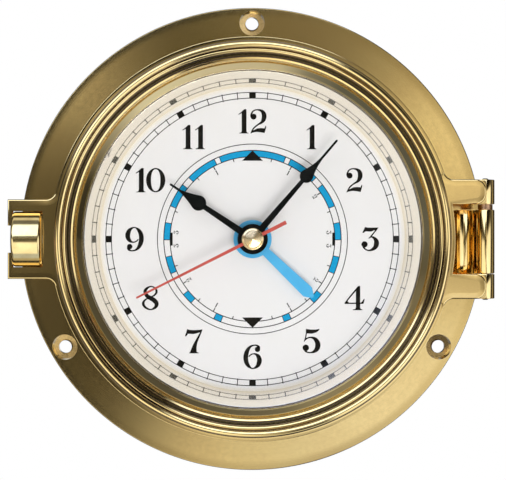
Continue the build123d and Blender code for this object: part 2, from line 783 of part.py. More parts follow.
# Tide idler: 24/23 times 25/27 makes one tide turn in 12 h 25 min
with BuildPart() as tide_idler:
    arbor(idler_place, plate_front, train_ceiling)
    first = meshed(idler_direction, hour_pinion_teeth, idler_teeth, idler_direction)
    wheel(tide_drive_layer, idler_place, idler_teeth, tide_drive_tooth_size, first)
    wheel(tide_layer, idler_place, idler_pinion_teeth, tide_tooth_size, idler_direction + 180)
finish(tide_idler, "tide_idler")

# Tide wheel: the outermost tube, which carries the blue tide hand
with BuildPart() as tide_wheel:
    first = meshed(idler_direction + 180, idler_pinion_teeth, tide_teeth, idler_direction + 180)
    tide_top = tide_hand_height + hand_thick
    wheel(tide_layer, centre, tide_teeth, tide_tooth_size, first)
    extrude(disc(layer(tide_layer), tide_tube_radius), amount=tide_top - layer(tide_layer))
    extrude(disc(layer(tide_layer), tide_bore), amount=tide_top - layer(tide_layer), mode=Mode.SUBTRACT)
finish(tide_wheel, "tide_wheel")

# Setting knob: moulded knob behind the movement, with a pinion on the motion wheel
with BuildPart() as setting_knob:
    knob_radius = 5.5
    knob_grips = 18
    knob_grip_radius = 0.45
    knob_back = door_gap
    knob_front = movement_back - door_gap
    setting_arbor_radius = 0.9
    setting_top = layer(motion_layer) + wheel_thick
    extrude(disc(knob_back, knob_radius, setting_place), amount=knob_front - knob_back)
    with BuildSketch(front(knob_back)):
        with Locations(setting_place):
            with PolarLocations(knob_radius, knob_grips):
                Circle(knob_grip_radius)
    extrude(amount=knob_front - knob_back, mode=Mode.SUBTRACT)
    extrude(disc(knob_back, setting_arbor_radius, setting_place), amount=setting_top - knob_back)
    extrude(disc(setting_top, pivot_radius, setting_place), amount=ceiling_pivot - setting_top)
    first = meshed(motion_first, motion_teeth, setting_teeth, setting_direction)
    wheel(motion_layer, setting_place, setting_teeth, motion_tooth_size, first)
finish(setting_knob, "setting_knob")

# Middle plate: carries the pivots between the seconds train and the motion work
plate_left = -18.5
plate_right = 14.6
plate_bottom = -10.8
plate_top = 17.3
plate_post_inset = 1.5
plate_posts = [
    (x, z)
    for x in (plate_left + plate_post_inset, plate_right - plate_post_inset)
    for z in (plate_bottom + plate_post_inset, plate_top - plate_post_inset)
]
plate_post_radius = 1.4

with BuildPart() as train_plate:
    corners = (plate_left, plate_bottom), (plate_right, plate_top)
    extrude(plate(plate_back, *corners, plate_post_inset), amount=wheel_thick)
    for pivot in (rotor_place, intermediate_place, third_place, motion_place, idler_place):
        extrude(disc(plate_back, pivot_radius + shaft_fit, pivot), amount=wheel_thick, mode=Mode.SUBTRACT)
    extrude(disc(plate_back, minute_tube_radius + shaft_fit), amount=wheel_thick, mode=Mode.SUBTRACT)
    hole = disc(plate_back, setting_arbor_radius + shaft_fit, setting_place)
    extrude(hole, amount=wheel_thick, mode=Mode.SUBTRACT)
finish(train_plate, "train_plate")

# Stepping motor: stator plate, core on its two legs, bobbin and winding on the core
stator_thick = 0.9
stator_back = layer(seconds_layer) + (rotor_magnet_length - stator_thick) / 2
stator_left = -15.3
stator_right = 8.7
stator_bottom = 12.6
stator_bar_top = 16.2
stator_leg_width = 3.0
stator_top = 24.0
stator_hole_radius = rotor_magnet_radius + 0.4
stator_hole_wall = 1.3
core_low = 21.0
core_high = 23.8
core_z = (core_low + core_high) / 2
core_height = stator_back + stator_thick
stator_screw_places = [
    (stator_left + stator_leg_width / 2, core_z),
    (stator_right - stator_leg_width / 2, core_z),
]
stator_screw_radius = 0.7
stator_screw_head_radius = 1.3
stator_screw_head_thick = 0.7

with BuildPart() as stator:
    with BuildSketch(front(stator_back)):
        with Locations(((stator_left + stator_right) / 2, (stator_bottom + stator_bar_top) / 2)):
            Rectangle(stator_right - stator_left, stator_bar_top - stator_bottom)
        for screw in stator_screw_places:
            with Locations((screw[0], (stator_bottom + stator_top) / 2)):
                Rectangle(stator_leg_width, stator_top - stator_bottom)
            with Locations(screw):
                Circle(stator_screw_radius + seat_gap, mode=Mode.SUBTRACT)
        with Locations(rotor_place):
            Circle(stator_hole_radius + stator_hole_wall)
            Circle(stator_hole_radius, mode=Mode.SUBTRACT)
    extrude(amount=stator_thick)
finish(stator, "stator")

with BuildPart() as coil_core:
    extrude(plate(core_height, (stator_left, core_low), (stator_right, core_high)), amount=stator_thick)
    for screw in stator_screw_places:
        hole = disc(core_height, stator_screw_radius + seat_gap, screw)
        extrude(hole, amount=stator_thick, mode=Mode.SUBTRACT)
finish(coil_core, "coil_core")

with BuildPart() as stator_screws:
    for screw in stator_screw_places:
        extrude(disc(stator_back - 2 * stator_thick, stator_screw_radius, screw), amount=4 * stator_thick)
        head = disc(core_height + stator_thick, stator_screw_head_radius, screw)
        extrude(head, amount=stator_screw_head_thick)
finish(stator_screws, "stator_screws")

bobbin_flange_radius = 4.3
bobbin_flange_thick = 0.8
bobbin_tube_radius = 2.3
bobbin_end_gap = 0.8
bobbin_left = stator_left + stator_leg_width + bobbin_end_gap
bobbin_right = stator_right - stator_leg_width - bobbin_end_gap
winding_radius = 3.8
core_middle = core_height + stator_thick / 2

with BuildPart() as coil_bobbin:
    for start, radius, length in (
        (bobbin_left, bobbin_flange_radius, bobbin_flange_thick),
        (bobbin_left, bobbin_tube_radius, bobbin_right - bobbin_left),
        (bobbin_right - bobbin_flange_thick, bobbin_flange_radius, bobbin_flange_thick),
    ):
        with BuildSketch(Plane.YZ.offset(start)):
            with Locations((-core_middle, core_z)):
                Circle(radius)
        extrude(amount=length)
    with BuildSketch(Plane.YZ.offset(bobbin_left)):
        with Locations((-core_middle, core_z)):
            Rectangle(stator_thick + 2 * seat_gap, core_high - core_low + 2 * seat_gap)
    extrude(amount=bobbin_right - bobbin_left, mode=Mode.SUBTRACT)
finish(coil_bobbin, "coil_bobbin")

with BuildPart() as coil_winding:
    with BuildSketch(Plane.YZ.offset(bobbin_left + bobbin_flange_thick)):
        with Locations((-core_middle, core_z)):
            Circle(winding_radius)
            Circle(bobbin_tube_radius, mode=Mode.SUBTRACT)
    extrude(amount=bobbin_right - bobbin_left - 2 * bobbin_flange_thick)
finish(coil_winding, "coil_winding")

# Circuit board over the coil, held between the posts of the front shell, and its crystal
board_end_gap = 1.7
board_half_length = movement_half_width - shell_post_inset - shell_post_radius - board_end_gap
board_half_width = 4.5
board_thick = 0.8
board_ceiling_gap = 2.2
board_front = train_ceiling - board_ceiling_gap
board_back = board_front - board_thick
board_post_radius = 1.5
board_post_inset = 2.0
board_posts = [(side * (board_half_length - board_post_inset), core_z) for side in (-1, 1)]
crystal_radius = 1.0
crystal_length = 6.0
crystal_inset = 10.0
crystal_left = board_half_length - crystal_inset
chip_radius = 2.0
chip_thick = 0.9

with BuildPart() as circuit_board:
    board_low = (-board_half_length, core_z - board_half_width)
    board_high = (board_half_length, core_z + board_half_width)
    extrude(plate(board_back, board_low, board_high), amount=board_thick)
    extrude(disc(board_front, chip_radius, (0, core_z)), amount=chip_thick)
finish(circuit_board, "circuit_board")

with BuildPart() as quartz_crystal:
    with BuildSketch(Plane.YZ.offset(crystal_left)):
        with Locations((-board_back + crystal_radius, core_z)):
            Circle(crystal_radius)
    extrude(amount=crystal_length)
finish(quartz_crystal, "quartz_crystal")

# Movement shells: moulded trays that meet at one split line, screwed at four corners
shell_top_gap = 1.6
plate_bay_gap = 1.0
bay_high_z = plate_bottom - plate_bay_gap - bay_wall
bay_low_z = bay_high_z - 2 * bay_half_width
cell_z = bay_high_z - bay_half_width
movement_bottom = bay_low_z - shell_low_wall
movement_top = core_z + board_half_width + shell_top_gap
shell_screw_radius = 0.8
shell_screw_head_radius = 1.7
shell_screw_head_thick = 0.9
shell_screw_rise = 3.6
shell_screw_reach = 5.0
shell_screw_places = [
    (side * (movement_half_width - shell_post_inset), z)
    for side in (1, -1)
    for z in (bay_high_z + shell_screw_rise, movement_top - shell_post_inset)
]
movement_split = plate_back - split_depth
outer_low = (-movement_half_width, movement_bottom)
outer_high = (movement_half_width, movement_top)
inner_low = (shell_wall - movement_half_width, movement_bottom + shell_wall)
inner_high = (movement_half_width - shell_wall, movement_top - shell_wall)
bay_wall_low = (inner_low[0], bay_high_z)
bay_wall_high = (inner_high[0], bay_high_z + bay_wall)
inner_corner_radius = movement_corner_radius - shell_wall

with BuildPart() as movement_back_shell:
    tray = plate(movement_back, outer_low, outer_high, movement_corner_radius)
    extrude(tray, amount=movement_split - movement_back)
    extrude(
        plate(train_floor, inner_low, inner_high, inner_corner_radius),
        amount=movement_split - train_floor,
        mode=Mode.SUBTRACT,
    )
    # Wall between the train and the battery bay
    extrude(
        plate(train_floor, bay_wall_low, bay_wall_high),
        amount=movement_split - train_floor,
    )
    for post in plate_posts:
        extrude(disc(train_floor, plate_post_radius, post), amount=plate_back - train_floor)
    for screw in shell_screw_places:
        extrude(disc(train_floor, shell_post_radius, screw), amount=movement_split - train_floor)
        hole = disc(movement_back, shell_screw_radius + seat_gap, screw)
        extrude(hole, amount=movement_split - movement_back, mode=Mode.SUBTRACT)
        head = disc(movement_back, shell_screw_head_radius + seat_gap, screw)
        extrude(head, amount=shell_screw_head_thick, mode=Mode.SUBTRACT)
    for screw in stator_screw_places:
        extrude(disc(train_floor, board_post_radius, screw), amount=stator_back - train_floor)
        hole = disc(stator_back - 2 * stator_thick, stator_screw_radius + seat_gap, screw)
        extrude(hole, amount=2 * stator_thick, mode=Mode.SUBTRACT)
    # Opening of the battery bay, open at the back
    extrude(
        plate(movement_back, (-bay_half_length, bay_low_z), (bay_half_length, bay_high_z)),
        amount=movement_split - movement_back,
        mode=Mode.SUBTRACT,
    )
    for pivot in (rotor_place, intermediate_place, third_place, centre):
        hole = disc(floor_pivot, pivot_radius + shaft_fit, pivot)
        extrude(hole, amount=pivot_depth, mode=Mode.SUBTRACT)
    hole = disc(movement_back, setting_arbor_radius + shaft_fit, setting_place)
    extrude(hole, amount=shell_wall, mode=Mode.SUBTRACT)
finish(movement_back_shell, "movement_back_shell")

with BuildPart() as movement_front_shell:
    extrude(
        plate(movement_split, outer_low, outer_high, movement_corner_radius),
        amount=movement_front - movement_split,
    )
    extrude(
        plate(movement_split, inner_low, inner_high, inner_corner_radius),
        amount=train_ceiling - movement_split,
        mode=Mode.SUBTRACT,
    )
    extrude(
        plate(movement_split, bay_wall_low, bay_wall_high),
        amount=train_ceiling - movement_split,
    )
    for post in plate_posts:
        extrude(disc(plate_front, plate_post_radius, post), amount=train_ceiling - plate_front)
    for post in board_posts:
        extrude(disc(board_front, board_post_radius, post), amount=train_ceiling - board_front)
    for screw in shell_screw_places:
        extrude(disc(movement_split, shell_post_radius, screw), amount=train_ceiling - movement_split)
        hole = disc(movement_split, shell_screw_radius + seat_gap, screw)
        extrude(hole, amount=shell_screw_reach, mode=Mode.SUBTRACT)
    for pivot in (motion_place, idler_place, setting_place):
        hole = disc(train_ceiling, pivot_radius + shaft_fit, pivot)
        extrude(hole, amount=pivot_depth, mode=Mode.SUBTRACT)
    hole = disc(train_ceiling, bush_radius + seat_gap)
    extrude(hole, amount=shell_wall, mode=Mode.SUBTRACT)
finish(movement_front_shell, "movement_front_shell")

with BuildPart() as movement_screws:
    for screw in shell_screw_places:
        head = disc(movement_back, shell_screw_head_radius, screw)
        extrude(head, amount=shell_screw_head_thick)
        shank = disc(movement_back, shell_screw_radius, screw)
        extrude(shank, amount=movement_split - movement_back + shell_screw_reach - seat_gap)
        slot = plate(
            movement_back,
            (screw[0] - shell_screw_head_radius, screw[1] - shell_screw_radius / 4),
            (screw[0] + shell_screw_head_radius, screw[1] + shell_screw_radius / 4),
        )
        extrude(slot, amount=shell_screw_head_thick / 2, mode=Mode.SUBTRACT)
finish(movement_screws, "movement_screws")

# AA cell in its bay, and the two spring contacts at its ends
with BuildPart() as battery:
    cell_left = -(cell_length + cell_nub_length) / 2
    for start, radius, length in (
        (cell_left, cell_radius, cell_length),
        (cell_left + cell_length, cell_nub_radius, cell_nub_length),
    ):
        with BuildSketch(Plane.YZ.offset(start)):
            with Locations((-cell_height, cell_z)):
                Circle(radius)
        extrude(amount=length)
finish(battery, "battery")

with BuildPart() as battery_contacts:
    contact_x = cell_left + cell_length + cell_nub_length
    bow_x = -contact_x - contact_bow
    contact_back = cell_height - contact_half_width
    contact_front = cell_height + contact_half_width
    with BuildSketch(Plane.YZ.offset(contact_x)):
        with Locations((-cell_height, cell_z)):
            Rectangle(2 * contact_half_width, 2 * contact_half_width)
    extrude(amount=contact_thick)
    with BuildSketch(SECTION.offset(-cell_z - contact_half_width)):
        with BuildLine():
            ThreePointArc(
                (bow_x, contact_back), (-contact_x - contact_thick, cell_height), (bow_x, contact_front)
            )
            Line((bow_x, contact_front), (bow_x + contact_thick, contact_front))
            ThreePointArc(
                (bow_x + contact_thick, contact_front),
                (-contact_x, cell_height),
                (bow_x + contact_thick, contact_back),
            )
            Line((bow_x + contact_thick, contact_back), (bow_x, contact_back))
        make_face()
    extrude(amount=2 * contact_half_width)
finish(battery_contacts, "battery_contacts")

# Shaft bush through the dial, with the rubber washer behind and washer and nut in front
with BuildPart() as shaft_bush:
    extrude(disc(train_ceiling, bush_radius, bore=bush_bore), amount=bush_top - train_ceiling)
    bush_flange = disc(movement_front, bush_flange_radius, bore=bush_bore)
    extrude(bush_flange, amount=washer_thick - seat_gap)
finish(shaft_bush, "shaft_bush")

with BuildPart() as dial_washer:
    washer_face = disc(movement_front, rubber_washer_radius, bore=bush_flange_radius + door_gap)
    extrude(washer_face, amount=washer_thick)
finish(dial_washer, "dial_washer")

with BuildPart() as bush_washer:
    extrude(disc(dial_front, flat_washer_radius, bore=bush_radius + seat_gap), amount=flat_washer_thick)
finish(bush_washer, "bush_washer")

with BuildPart() as bush_nut:
    with BuildSketch(front(dial_front + flat_washer_thick)):
        RegularPolygon(nut_flats_radius, 6, major_radius=False)
        Circle(bush_radius + seat_gap / 2, mode=Mode.SUBTRACT)
    extrude(amount=nut_thick)
finish(bush_nut, "bush_nut")


# Hands, stamped from sheet and pressed on their tubes
def hand_plane(height, angle):
    """Plane of a hand, turned so that its own Y points along the hand."""
    turn = radians(angle)
    return Plane(origin=(0, -height, 0), x_dir=(cos(turn), 0, -sin(turn)), z_dir=(0, -1, 0))


tide_hub_radius = 6.0
tide_root_half_width = 1.4
tide_belly_half_width = 2.2
tide_belly = 21.6
tide_tip = 25.9
with BuildPart() as tide_hand:
    with BuildSketch(hand_plane(tide_hand_height, tide_hand_angle)):
        with BuildLine():
            Polyline(
                (-tide_root_half_width, 0),
                (-tide_belly_half_width, tide_belly),
                (0, tide_tip),
                (tide_belly_half_width, tide_belly),
                (tide_root_half_width, 0),
                close=True,
            )
        make_face()
        Circle(tide_hub_radius)
        Circle(tide_tube_radius + seat_gap / 2, mode=Mode.SUBTRACT)
    extrude(amount=hand_thick)
finish(tide_hand, "tide_hand")


bulb_cheek_share = 0.8
bulb_brow_share = 0.6
point_share = 0.2


def bulb_hand(height, angle, hub, bore, half_width, bulb_distance, bulb_radius, tip):
    """Hand with a round hub, a parallel shaft, a round bulb and a long thin point."""
    point_half_width = point_share * half_width
    cheek = bulb_cheek_share * bulb_radius
    brow = bulb_distance + bulb_brow_share * bulb_radius
    with BuildSketch(hand_plane(height, angle)) as face:
        with BuildLine():
            Polyline(
                (-half_width, 0),
                (-half_width, bulb_distance),
                (-cheek, brow),
                (-point_half_width, tip),
                (point_half_width, tip),
                (cheek, brow),
                (half_width, bulb_distance),
                (half_width, 0),
                close=True,
            )
        make_face()
        Circle(hub)
        with Locations((0, bulb_distance)):
            Circle(bulb_radius)
        Circle(bore, mode=Mode.SUBTRACT)
    return face.sketch


hour_hub_radius = 4.2
hour_half_width = 1.0
hour_bulb_distance = 20.2
hour_bulb_radius = 2.6
hour_tip = 31.2
with BuildPart() as hour_hand:
    hour_face = bulb_hand(
        hour_hand_height,
        hour_hand_angle,
        hour_hub_radius,
        hour_tube_radius + seat_gap / 2,
        hour_half_width,
        hour_bulb_distance,
        hour_bulb_radius,
        hour_tip,
    )
    extrude(hour_face, amount=hand_thick)
finish(hour_hand, "hour_hand")

minute_hub_radius = 4.75
minute_half_width = 0.9
minute_bulb_distance = 26.4
minute_bulb_radius = 2.4
minute_tip = 40.9
with BuildPart() as minute_hand:
    minute_face = bulb_hand(
        minute_hand_height,
        minute_hand_angle,
        minute_hub_radius,
        minute_tube_radius + seat_gap / 2,
        minute_half_width,
        minute_bulb_distance,
        minute_bulb_radius,
        minute_tip,
    )
    extrude(minute_face, amount=hand_thick)
finish(minute_hand, "minute_hand")

second_tip = 40.7
second_tail = 11.7
second_half_width = 0.5
second_tip_half_width = 0.25
second_hub_radius = 1.8
with BuildPart() as second_hand:
    with BuildSketch(hand_plane(second_hand_height, second_hand_angle)):
        with BuildLine():
            Polyline(
                (-second_half_width, -second_tail),
                (-second_tip_half_width, second_tip),
                (second_tip_half_width, second_tip),
                (second_half_width, -second_tail),
                close=True,
            )
        make_face()
        Circle(second_hub_radius)
        Circle(second_arbor_radius + seat_gap / 2, mode=Mode.SUBTRACT)
    extrude(amount=hand_thick)
finish(second_hand, "second_hand")

# Hub cap: turned brass button pressed on the end of the second arbor
with BuildPart() as hub_cap:
    cap_back = second_hand_height + hand_thick
    cap_bore = second_arbor_radius + seat_gap / 2
    revolve(
        profile(
            (0, hub_cap_rim_height + seat_gap),
            (cap_bore, hub_cap_rim_height + seat_gap),
            (cap_bore, cap_back),
            (hub_cap_radius, cap_back),
            (hub_cap_radius, hub_cap_rim_height),
            (hub_cap_face_radius, hub_cap_top),
            (0, hub_cap_top),
        ),
        axis=Axis.Y,
    )
finish(hub_cap, "hub_cap")
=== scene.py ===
import bpy
import bmesh
import math
import numpy as np
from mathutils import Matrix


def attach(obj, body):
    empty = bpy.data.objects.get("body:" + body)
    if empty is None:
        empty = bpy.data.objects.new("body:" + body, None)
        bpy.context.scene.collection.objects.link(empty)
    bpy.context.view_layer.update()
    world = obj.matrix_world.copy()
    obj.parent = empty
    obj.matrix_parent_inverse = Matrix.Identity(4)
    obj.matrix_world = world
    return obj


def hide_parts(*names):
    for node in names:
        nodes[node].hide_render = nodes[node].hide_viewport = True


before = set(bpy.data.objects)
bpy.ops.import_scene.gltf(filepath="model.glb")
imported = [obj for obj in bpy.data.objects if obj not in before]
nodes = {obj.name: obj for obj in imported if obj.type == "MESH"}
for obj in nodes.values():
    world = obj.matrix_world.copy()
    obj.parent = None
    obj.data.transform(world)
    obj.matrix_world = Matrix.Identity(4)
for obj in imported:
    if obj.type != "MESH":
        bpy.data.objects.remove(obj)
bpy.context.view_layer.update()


# Case: one brass casting, turned on its face and drum and clear lacquered. Three countersunk
# holes in the flange take the wall screws; the hinge post and the latch keeper are cast on.
MM = 0.001
TURN = 2 * math.pi
CLOCK_AXIS = np.array([(0, 0, 0), (0, -1, 0), (1, 0, 0), (0, 0, 1)], float)


class Signal:
    """One socket of a material's nodes. Arithmetic adds Math nodes; node() adds any other."""

    def __init__(self, tree, socket=None):
        self.tree, self.socket = tree, socket

    def node(self, kind, settings=None, sockets=None, output=0):
        """Adds a node: its settings first, then the values or links of its sockets."""
        made = self.tree.nodes.new("ShaderNode" + kind)
        for name, value in (settings or {}).items():
            if name == "stops":
                ramp = made.color_ramp
                while len(ramp.elements) < len(value):
                    ramp.elements.new(1)
                for element, (place, colour) in zip(ramp.elements, value):
                    element.position = place
                    element.color = (*colour, 1)
            else:
                setattr(made, name, value)
        for name, value in (sockets or {}).items():
            if isinstance(value, Signal):
                self.tree.links.new(value.socket, made.inputs[name])
            else:
                made.inputs[name].default_value = value
        return Signal(self.tree, made.outputs[output])

    def maths(self, operation, *others):
        return self.node("Math", {"operation": operation}, dict(enumerate((self, *others))))

    def vector(self, operation, other, output=0):
        return self.node("VectorMath", {"operation": operation}, {0: self, 1: other}, output)

    def __add__(self, other):
        return self.maths("ADD", other)

    __radd__ = __add__

    def __sub__(self, other):
        return self.maths("SUBTRACT", other)

    def __rsub__(self, other):
        return self * -1 + other

    def __mul__(self, other):
        return self.maths("MULTIPLY", other)

    __rmul__ = __mul__

    def __truediv__(self, other):
        return self.maths("DIVIDE", other)

    def between(self, low, high):
        """0 below low, 1 above high, and smooth in between."""
        span = {"Value": self, "From Min": low, "From Max": high}
        return self.node("MapRange", {"interpolation_type": "SMOOTHSTEP"}, span)

    def tint(self, first, second):
        """Colour that goes from the first to the second as this value goes from 0 to 1."""
        mixed = {0: self, 6: first if isinstance(first, Signal) else (*first, 1)}
        mixed[7] = second if isinstance(second, Signal) else (*second, 1)
        return self.node("Mix", {"data_type": "RGBA"}, mixed, 2)


def surface(name, **constants):
    """New material: a Principled shader with these constants, and a Signal on its nodes."""
    material = bpy.data.materials.new(name)
    material.use_nodes = True
    shader = material.node_tree.nodes["Principled BSDF"]
    for socket, value in constants.items():
        shader.inputs[socket.replace("_", " ")].default_value = value
    return material, shader, Signal(material.node_tree)


def feed(shader, **signals):
    """Links these signals to the shader's sockets."""
    for socket, signal in signals.items():
        signal.tree.links.new(signal.socket, shader.inputs[socket.replace("_", " ")])


def own_place(start, shift=(0, 0, 0)):
    """Place on the piece in metres, moved so that its own centre is the origin."""
    return start.node("TexCoord", output=3).vector("SUBTRACT", shift)


def parts(spot):
    """The x, y and z of a place, each as a signal."""
    split = spot.node("SeparateXYZ", sockets={0: spot}).socket.node
    return [Signal(spot.tree, part) for part in split.outputs]


def radius_from_axis(spot):
    """Distance from the clock's own axis, in metres."""
    x, _, z = parts(spot)
    return (x * x + z * z).maths("SQRT")


def noise(spot, scale, detail):
    """Cloudy value between 0 and 1 that changes over the piece, at a scale per metre."""
    return spot.node("TexNoise", sockets={"Vector": spot, "Scale": scale, "Detail": detail})


def lines_across(run, scale, detail):
    """The same along one length only, which draws fine parallel lines across it."""
    settings = {"W": run, "Scale": scale, "Detail": detail}
    return run.node("TexNoise", {"noise_dimensions": "1D"}, settings)


def relief(height, depth):
    """Normal of a relief that is this deep, in metres, where its height goes from 0 to 1."""
    return height.node("Bump", sockets={"Strength": 1.0, "Distance": depth, "Height": height})


def turned_brass(
    name, light, deep, roughness, line_width, line_depth, coat=0.0, grooves=(), painted_highlight_holes=()
):
    """Brass with a drift of colour, fine circular tool lines and a few handling marks. Each
    groove is (radius, half width) in mm, painted darker there as painted shade in the hollow;
    the countersinks, at (x, z) in mm, are painted paler as a painted highlight."""
    painted_groove_shade, painted_hole_highlight = (0.2, 0.13, 0.05), (0.95, 0.77, 0.45)
    material, shader, start = surface(name, Metallic=1.0, Coat_Weight=coat, Coat_Roughness=0.06)
    spot = own_place(start)
    radius = radius_from_axis(spot)
    drift, fine = noise(spot, 38.0, 3.0), noise(spot, 900.0, 4.0)
    lines = lines_across(radius, 1 / (line_width * MM), 2.0)
    colour = (drift + 0.25 * fine).between(0.35, 0.9).tint(light, deep)
    # Painted shade: each groove's colour goes to a dark brown, standing in for shade in the hollow.
    for place, half in grooves:
        near = (radius - place * MM).maths("ABSOLUTE").between(0.5 * half * MM, half * MM)
        colour = near.tint(painted_groove_shade, colour)
    # Painted highlight: the countersinks are painted a paler gold, standing in for bright
    # reflections in them.
    for x, z in painted_highlight_holes:
        away = spot.vector("DISTANCE", (x * MM, -4 * MM, z * MM), "Value")
        colour = away.between(4.15 * MM, 4.3 * MM).tint(painted_hole_highlight, colour)
    feed(
        shader,
        Base_Color=colour,
        Roughness=roughness + 0.05 * fine + 0.03 * lines,
        Normal=relief(lines + 0.04 * fine, line_depth * MM),
    )
    return material


def arc(start, middle, end, steps):
    """Points along the circle through three points: the centre is where the two
    perpendicular bisectors meet, and the angle runs evenly from start to end."""
    a, b, c = (complex(*p) for p in (start, middle, end))
    w = (c - a) / (b - a)
    centre = (b - a) * (w - abs(w) ** 2) / (w - w.conjugate()) + a
    first = np.angle(a - centre)
    sweep = np.angle((c - centre) / (a - centre))
    half = np.angle((b - centre) / (a - centre))
    if half * sweep < 0 or abs(half) > abs(sweep):
        sweep -= math.copysign(TURN, sweep)
    angles = first + sweep * np.linspace(0, 1, steps + 1)
    points = centre + abs(a - centre) * np.exp(1j * angles)
    return np.stack([points.real, points.imag], 1)


def eased(outline, radius=0.15, steps=3, least_turn=20):
    """The closed outline with each sharp corner replaced by a small round: points on the
    quadratic curve from one side to the other, with the corner as its handle."""
    points = np.array(outline, float)
    back = np.roll(points, 1, 0) - points
    ahead = np.roll(points, -1, 0) - points
    long_back, long_ahead = np.hypot(*back.T), np.hypot(*ahead.T)
    turn = np.degrees(np.arccos(np.clip(-(back * ahead).sum(1) / long_back / long_ahead, -1, 1)))
    cut = np.minimum(radius, 0.4 * np.minimum(long_back, long_ahead))
    s = np.linspace(0, 1, steps + 1)[:, None]
    made = []
    for here in range(len(points)):
        if turn[here] < least_turn:
            made.append(points[here : here + 1])
            continue
        first = points[here] + back[here] / long_back[here] * cut[here]
        last = points[here] + ahead[here] / long_ahead[here] * cut[here]
        made.append((1 - s) ** 2 * first + 2 * s * (1 - s) * points[here] + s**2 * last)
    return np.concatenate(made)


def braced(outline, margin=0.06):
    """The closed outline with a point just inside each end of every long straight side, so
    that shading across it stays flat."""
    points = np.array(outline, float)
    ahead = np.roll(points, -1, 0) - points
    length = np.hypot(*ahead.T)[:, None]
    near = points + ahead / length * margin
    far = points + ahead - ahead / length * margin
    keep = np.stack([length[:, 0] > 0, length[:, 0] > 6 * margin, length[:, 0] > 6 * margin], 1)
    return np.stack([points, near, far], 1)[keep]


def turned(outline, steps=360, axis=CLOCK_AXIS):
    """Closed outline of (radius, height) turned once round an axis: radius times the cosine
    and sine of the angle along two directions, plus height along the axis. A point at radius
    zero is a pole, shared by the whole turn."""
    radius, height = np.array(outline, float).T
    angle = TURN * np.arange(steps) / steps
    origin, along, first, second = axis
    ring = np.cos(angle)[:, None] * first + np.sin(angle)[:, None] * second
    points = origin + radius[:, None, None] * ring + height[:, None, None] * along
    rows = np.arange(len(radius))
    a = rows[:, None] * steps + np.arange(steps)
    b = rows[:, None] * steps + (np.arange(steps) + 1) % steps
    quads = np.stack([a, b, np.roll(b, -1, 0), np.roll(a, -1, 0)], 2).reshape(-1, 4)
    return points.reshape(-1, 3) * MM, quads.tolist()


def pushed(outline, levels, axis=CLOCK_AXIS, weight=1.0):
    """Flat closed outline carried along an axis. Each level is (inset, height): the outline
    moved inwards by the inset along its corners' bisectors, at that height. Both ends are
    closed by one flat face."""
    points = np.array(outline, float)
    ahead = np.roll(points, -1, 0) - points
    ahead /= np.hypot(*ahead.T)[:, None]
    x, y = points.T
    area = np.sum(x * np.roll(y, -1) - np.roll(x, -1) * y)
    normal = np.stack([-ahead[:, 1], ahead[:, 0]], 1) * np.sign(area)
    before = np.roll(normal, 1, 0)
    inward = (normal + before) / (1 + (normal * before).sum(1))[:, None]
    inward *= np.broadcast_to(weight, len(points))[:, None]
    origin, along, first, second = axis
    rows = []
    for inset, height in levels:
        moved = points + inset * inward
        rows.append(origin + moved[:, :1] * first + moved[:, 1:] * second + height * along)
    count = len(points)
    a = np.arange(len(levels) - 1)[:, None] * count + np.arange(count)
    b = np.arange(len(levels) - 1)[:, None] * count + (np.arange(count) + 1) % count
    quads = np.stack([a, b, b + count, a + count], 2).reshape(-1, 4).tolist()
    ends = [list(range(count))[::-1], list(range(count * (len(levels) - 1), count * len(levels)))]
    return np.concatenate(rows) * MM, quads + ends


def placed(name, data):
    """New object of the scene, with this data."""
    made = bpy.data.objects.new(name, data)
    bpy.context.scene.collection.objects.link(made)
    return made


def piece(name, *forms, material=None):
    """One object from several closed forms, faces outwards and smooth up to the sharp angle."""
    points, faces = [], []
    for form_points, form_faces in forms:
        shift = sum(len(p) for p in points)
        points.append(form_points)
        faces += [[corner + shift for corner in face] for face in form_faces]
    mesh = bpy.data.meshes.new(name)
    mesh.from_pydata(np.concatenate(points), [], faces)
    tidy(mesh)
    if material:
        mesh.materials.append(material)
    return placed(name, mesh)


def tidy(mesh):
    """Turns every face outwards and marks the edges sharper than the sharp angle."""
    sharp_angle = 28
    work = bmesh.new()
    work.from_mesh(mesh)
    bmesh.ops.recalc_face_normals(work, faces=work.faces)
    work.to_mesh(mesh)
    work.free()
    mesh.shade_smooth()
    mesh.set_sharp_from_angle(angle=math.radians(sharp_angle))


def combined(made, operation, tool):
    """The piece joined with another solid, or with it cut away."""
    step = made.modifiers.new(operation, "BOOLEAN")
    step.operation, step.solver, step.object = operation, "EXACT", tool
    ready = made.evaluated_get(bpy.context.evaluated_depsgraph_get())
    mesh = bpy.data.meshes.new_from_object(ready)
    made.modifiers.clear()
    made.data = mesh
    bpy.data.objects.remove(tool)
    tidy(mesh)
    return made


def dress(material, *names):
    """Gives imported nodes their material."""
    for name in names:
        for slot in nodes[name].material_slots:
            slot.material = material


DRUM_RADIUS, DRUM_BORE, DRUM_HEIGHT = 59.0, 56.6, 28.0
FLANGE_RADIUS, FLANGE_THICK = 75.0, 5.0
SEAT_RADIUS, SEAT_FLOOR = 57.45, 27.2
LEDGE_RADIUS, LEDGE_TOP, LEDGE_FOOT, LEDGE_ROOT = 51.2, 19.2, 17.4, 14.4
HINGE_X, KNUCKLE_RADIUS = 72.6, 2.9
KNUCKLE_IN, KNUCKLE_OUT = HINGE_X - KNUCKLE_RADIUS, HINGE_X + KNUCKLE_RADIUS
KNUCKLE_TOP = DRUM_HEIGHT + KNUCKLE_RADIUS
LATCH_HEIGHT = 30.6
RING_STEPS = 420
PLAN_AXIS = np.array([(0, 0, 0), (0, 0, 1), (1, 0, 0), (0, -1, 0)], float)
HINGE_LINE = np.array([(HINGE_X, -DRUM_HEIGHT, 0), (0, 0, 1), (1, 0, 0), (0, -1, 0)], float)
LATCH_LINE = np.array([(0, -LATCH_HEIGHT, 0), (1, 0, 0), (0, -1, 0), (0, 0, 1)], float)


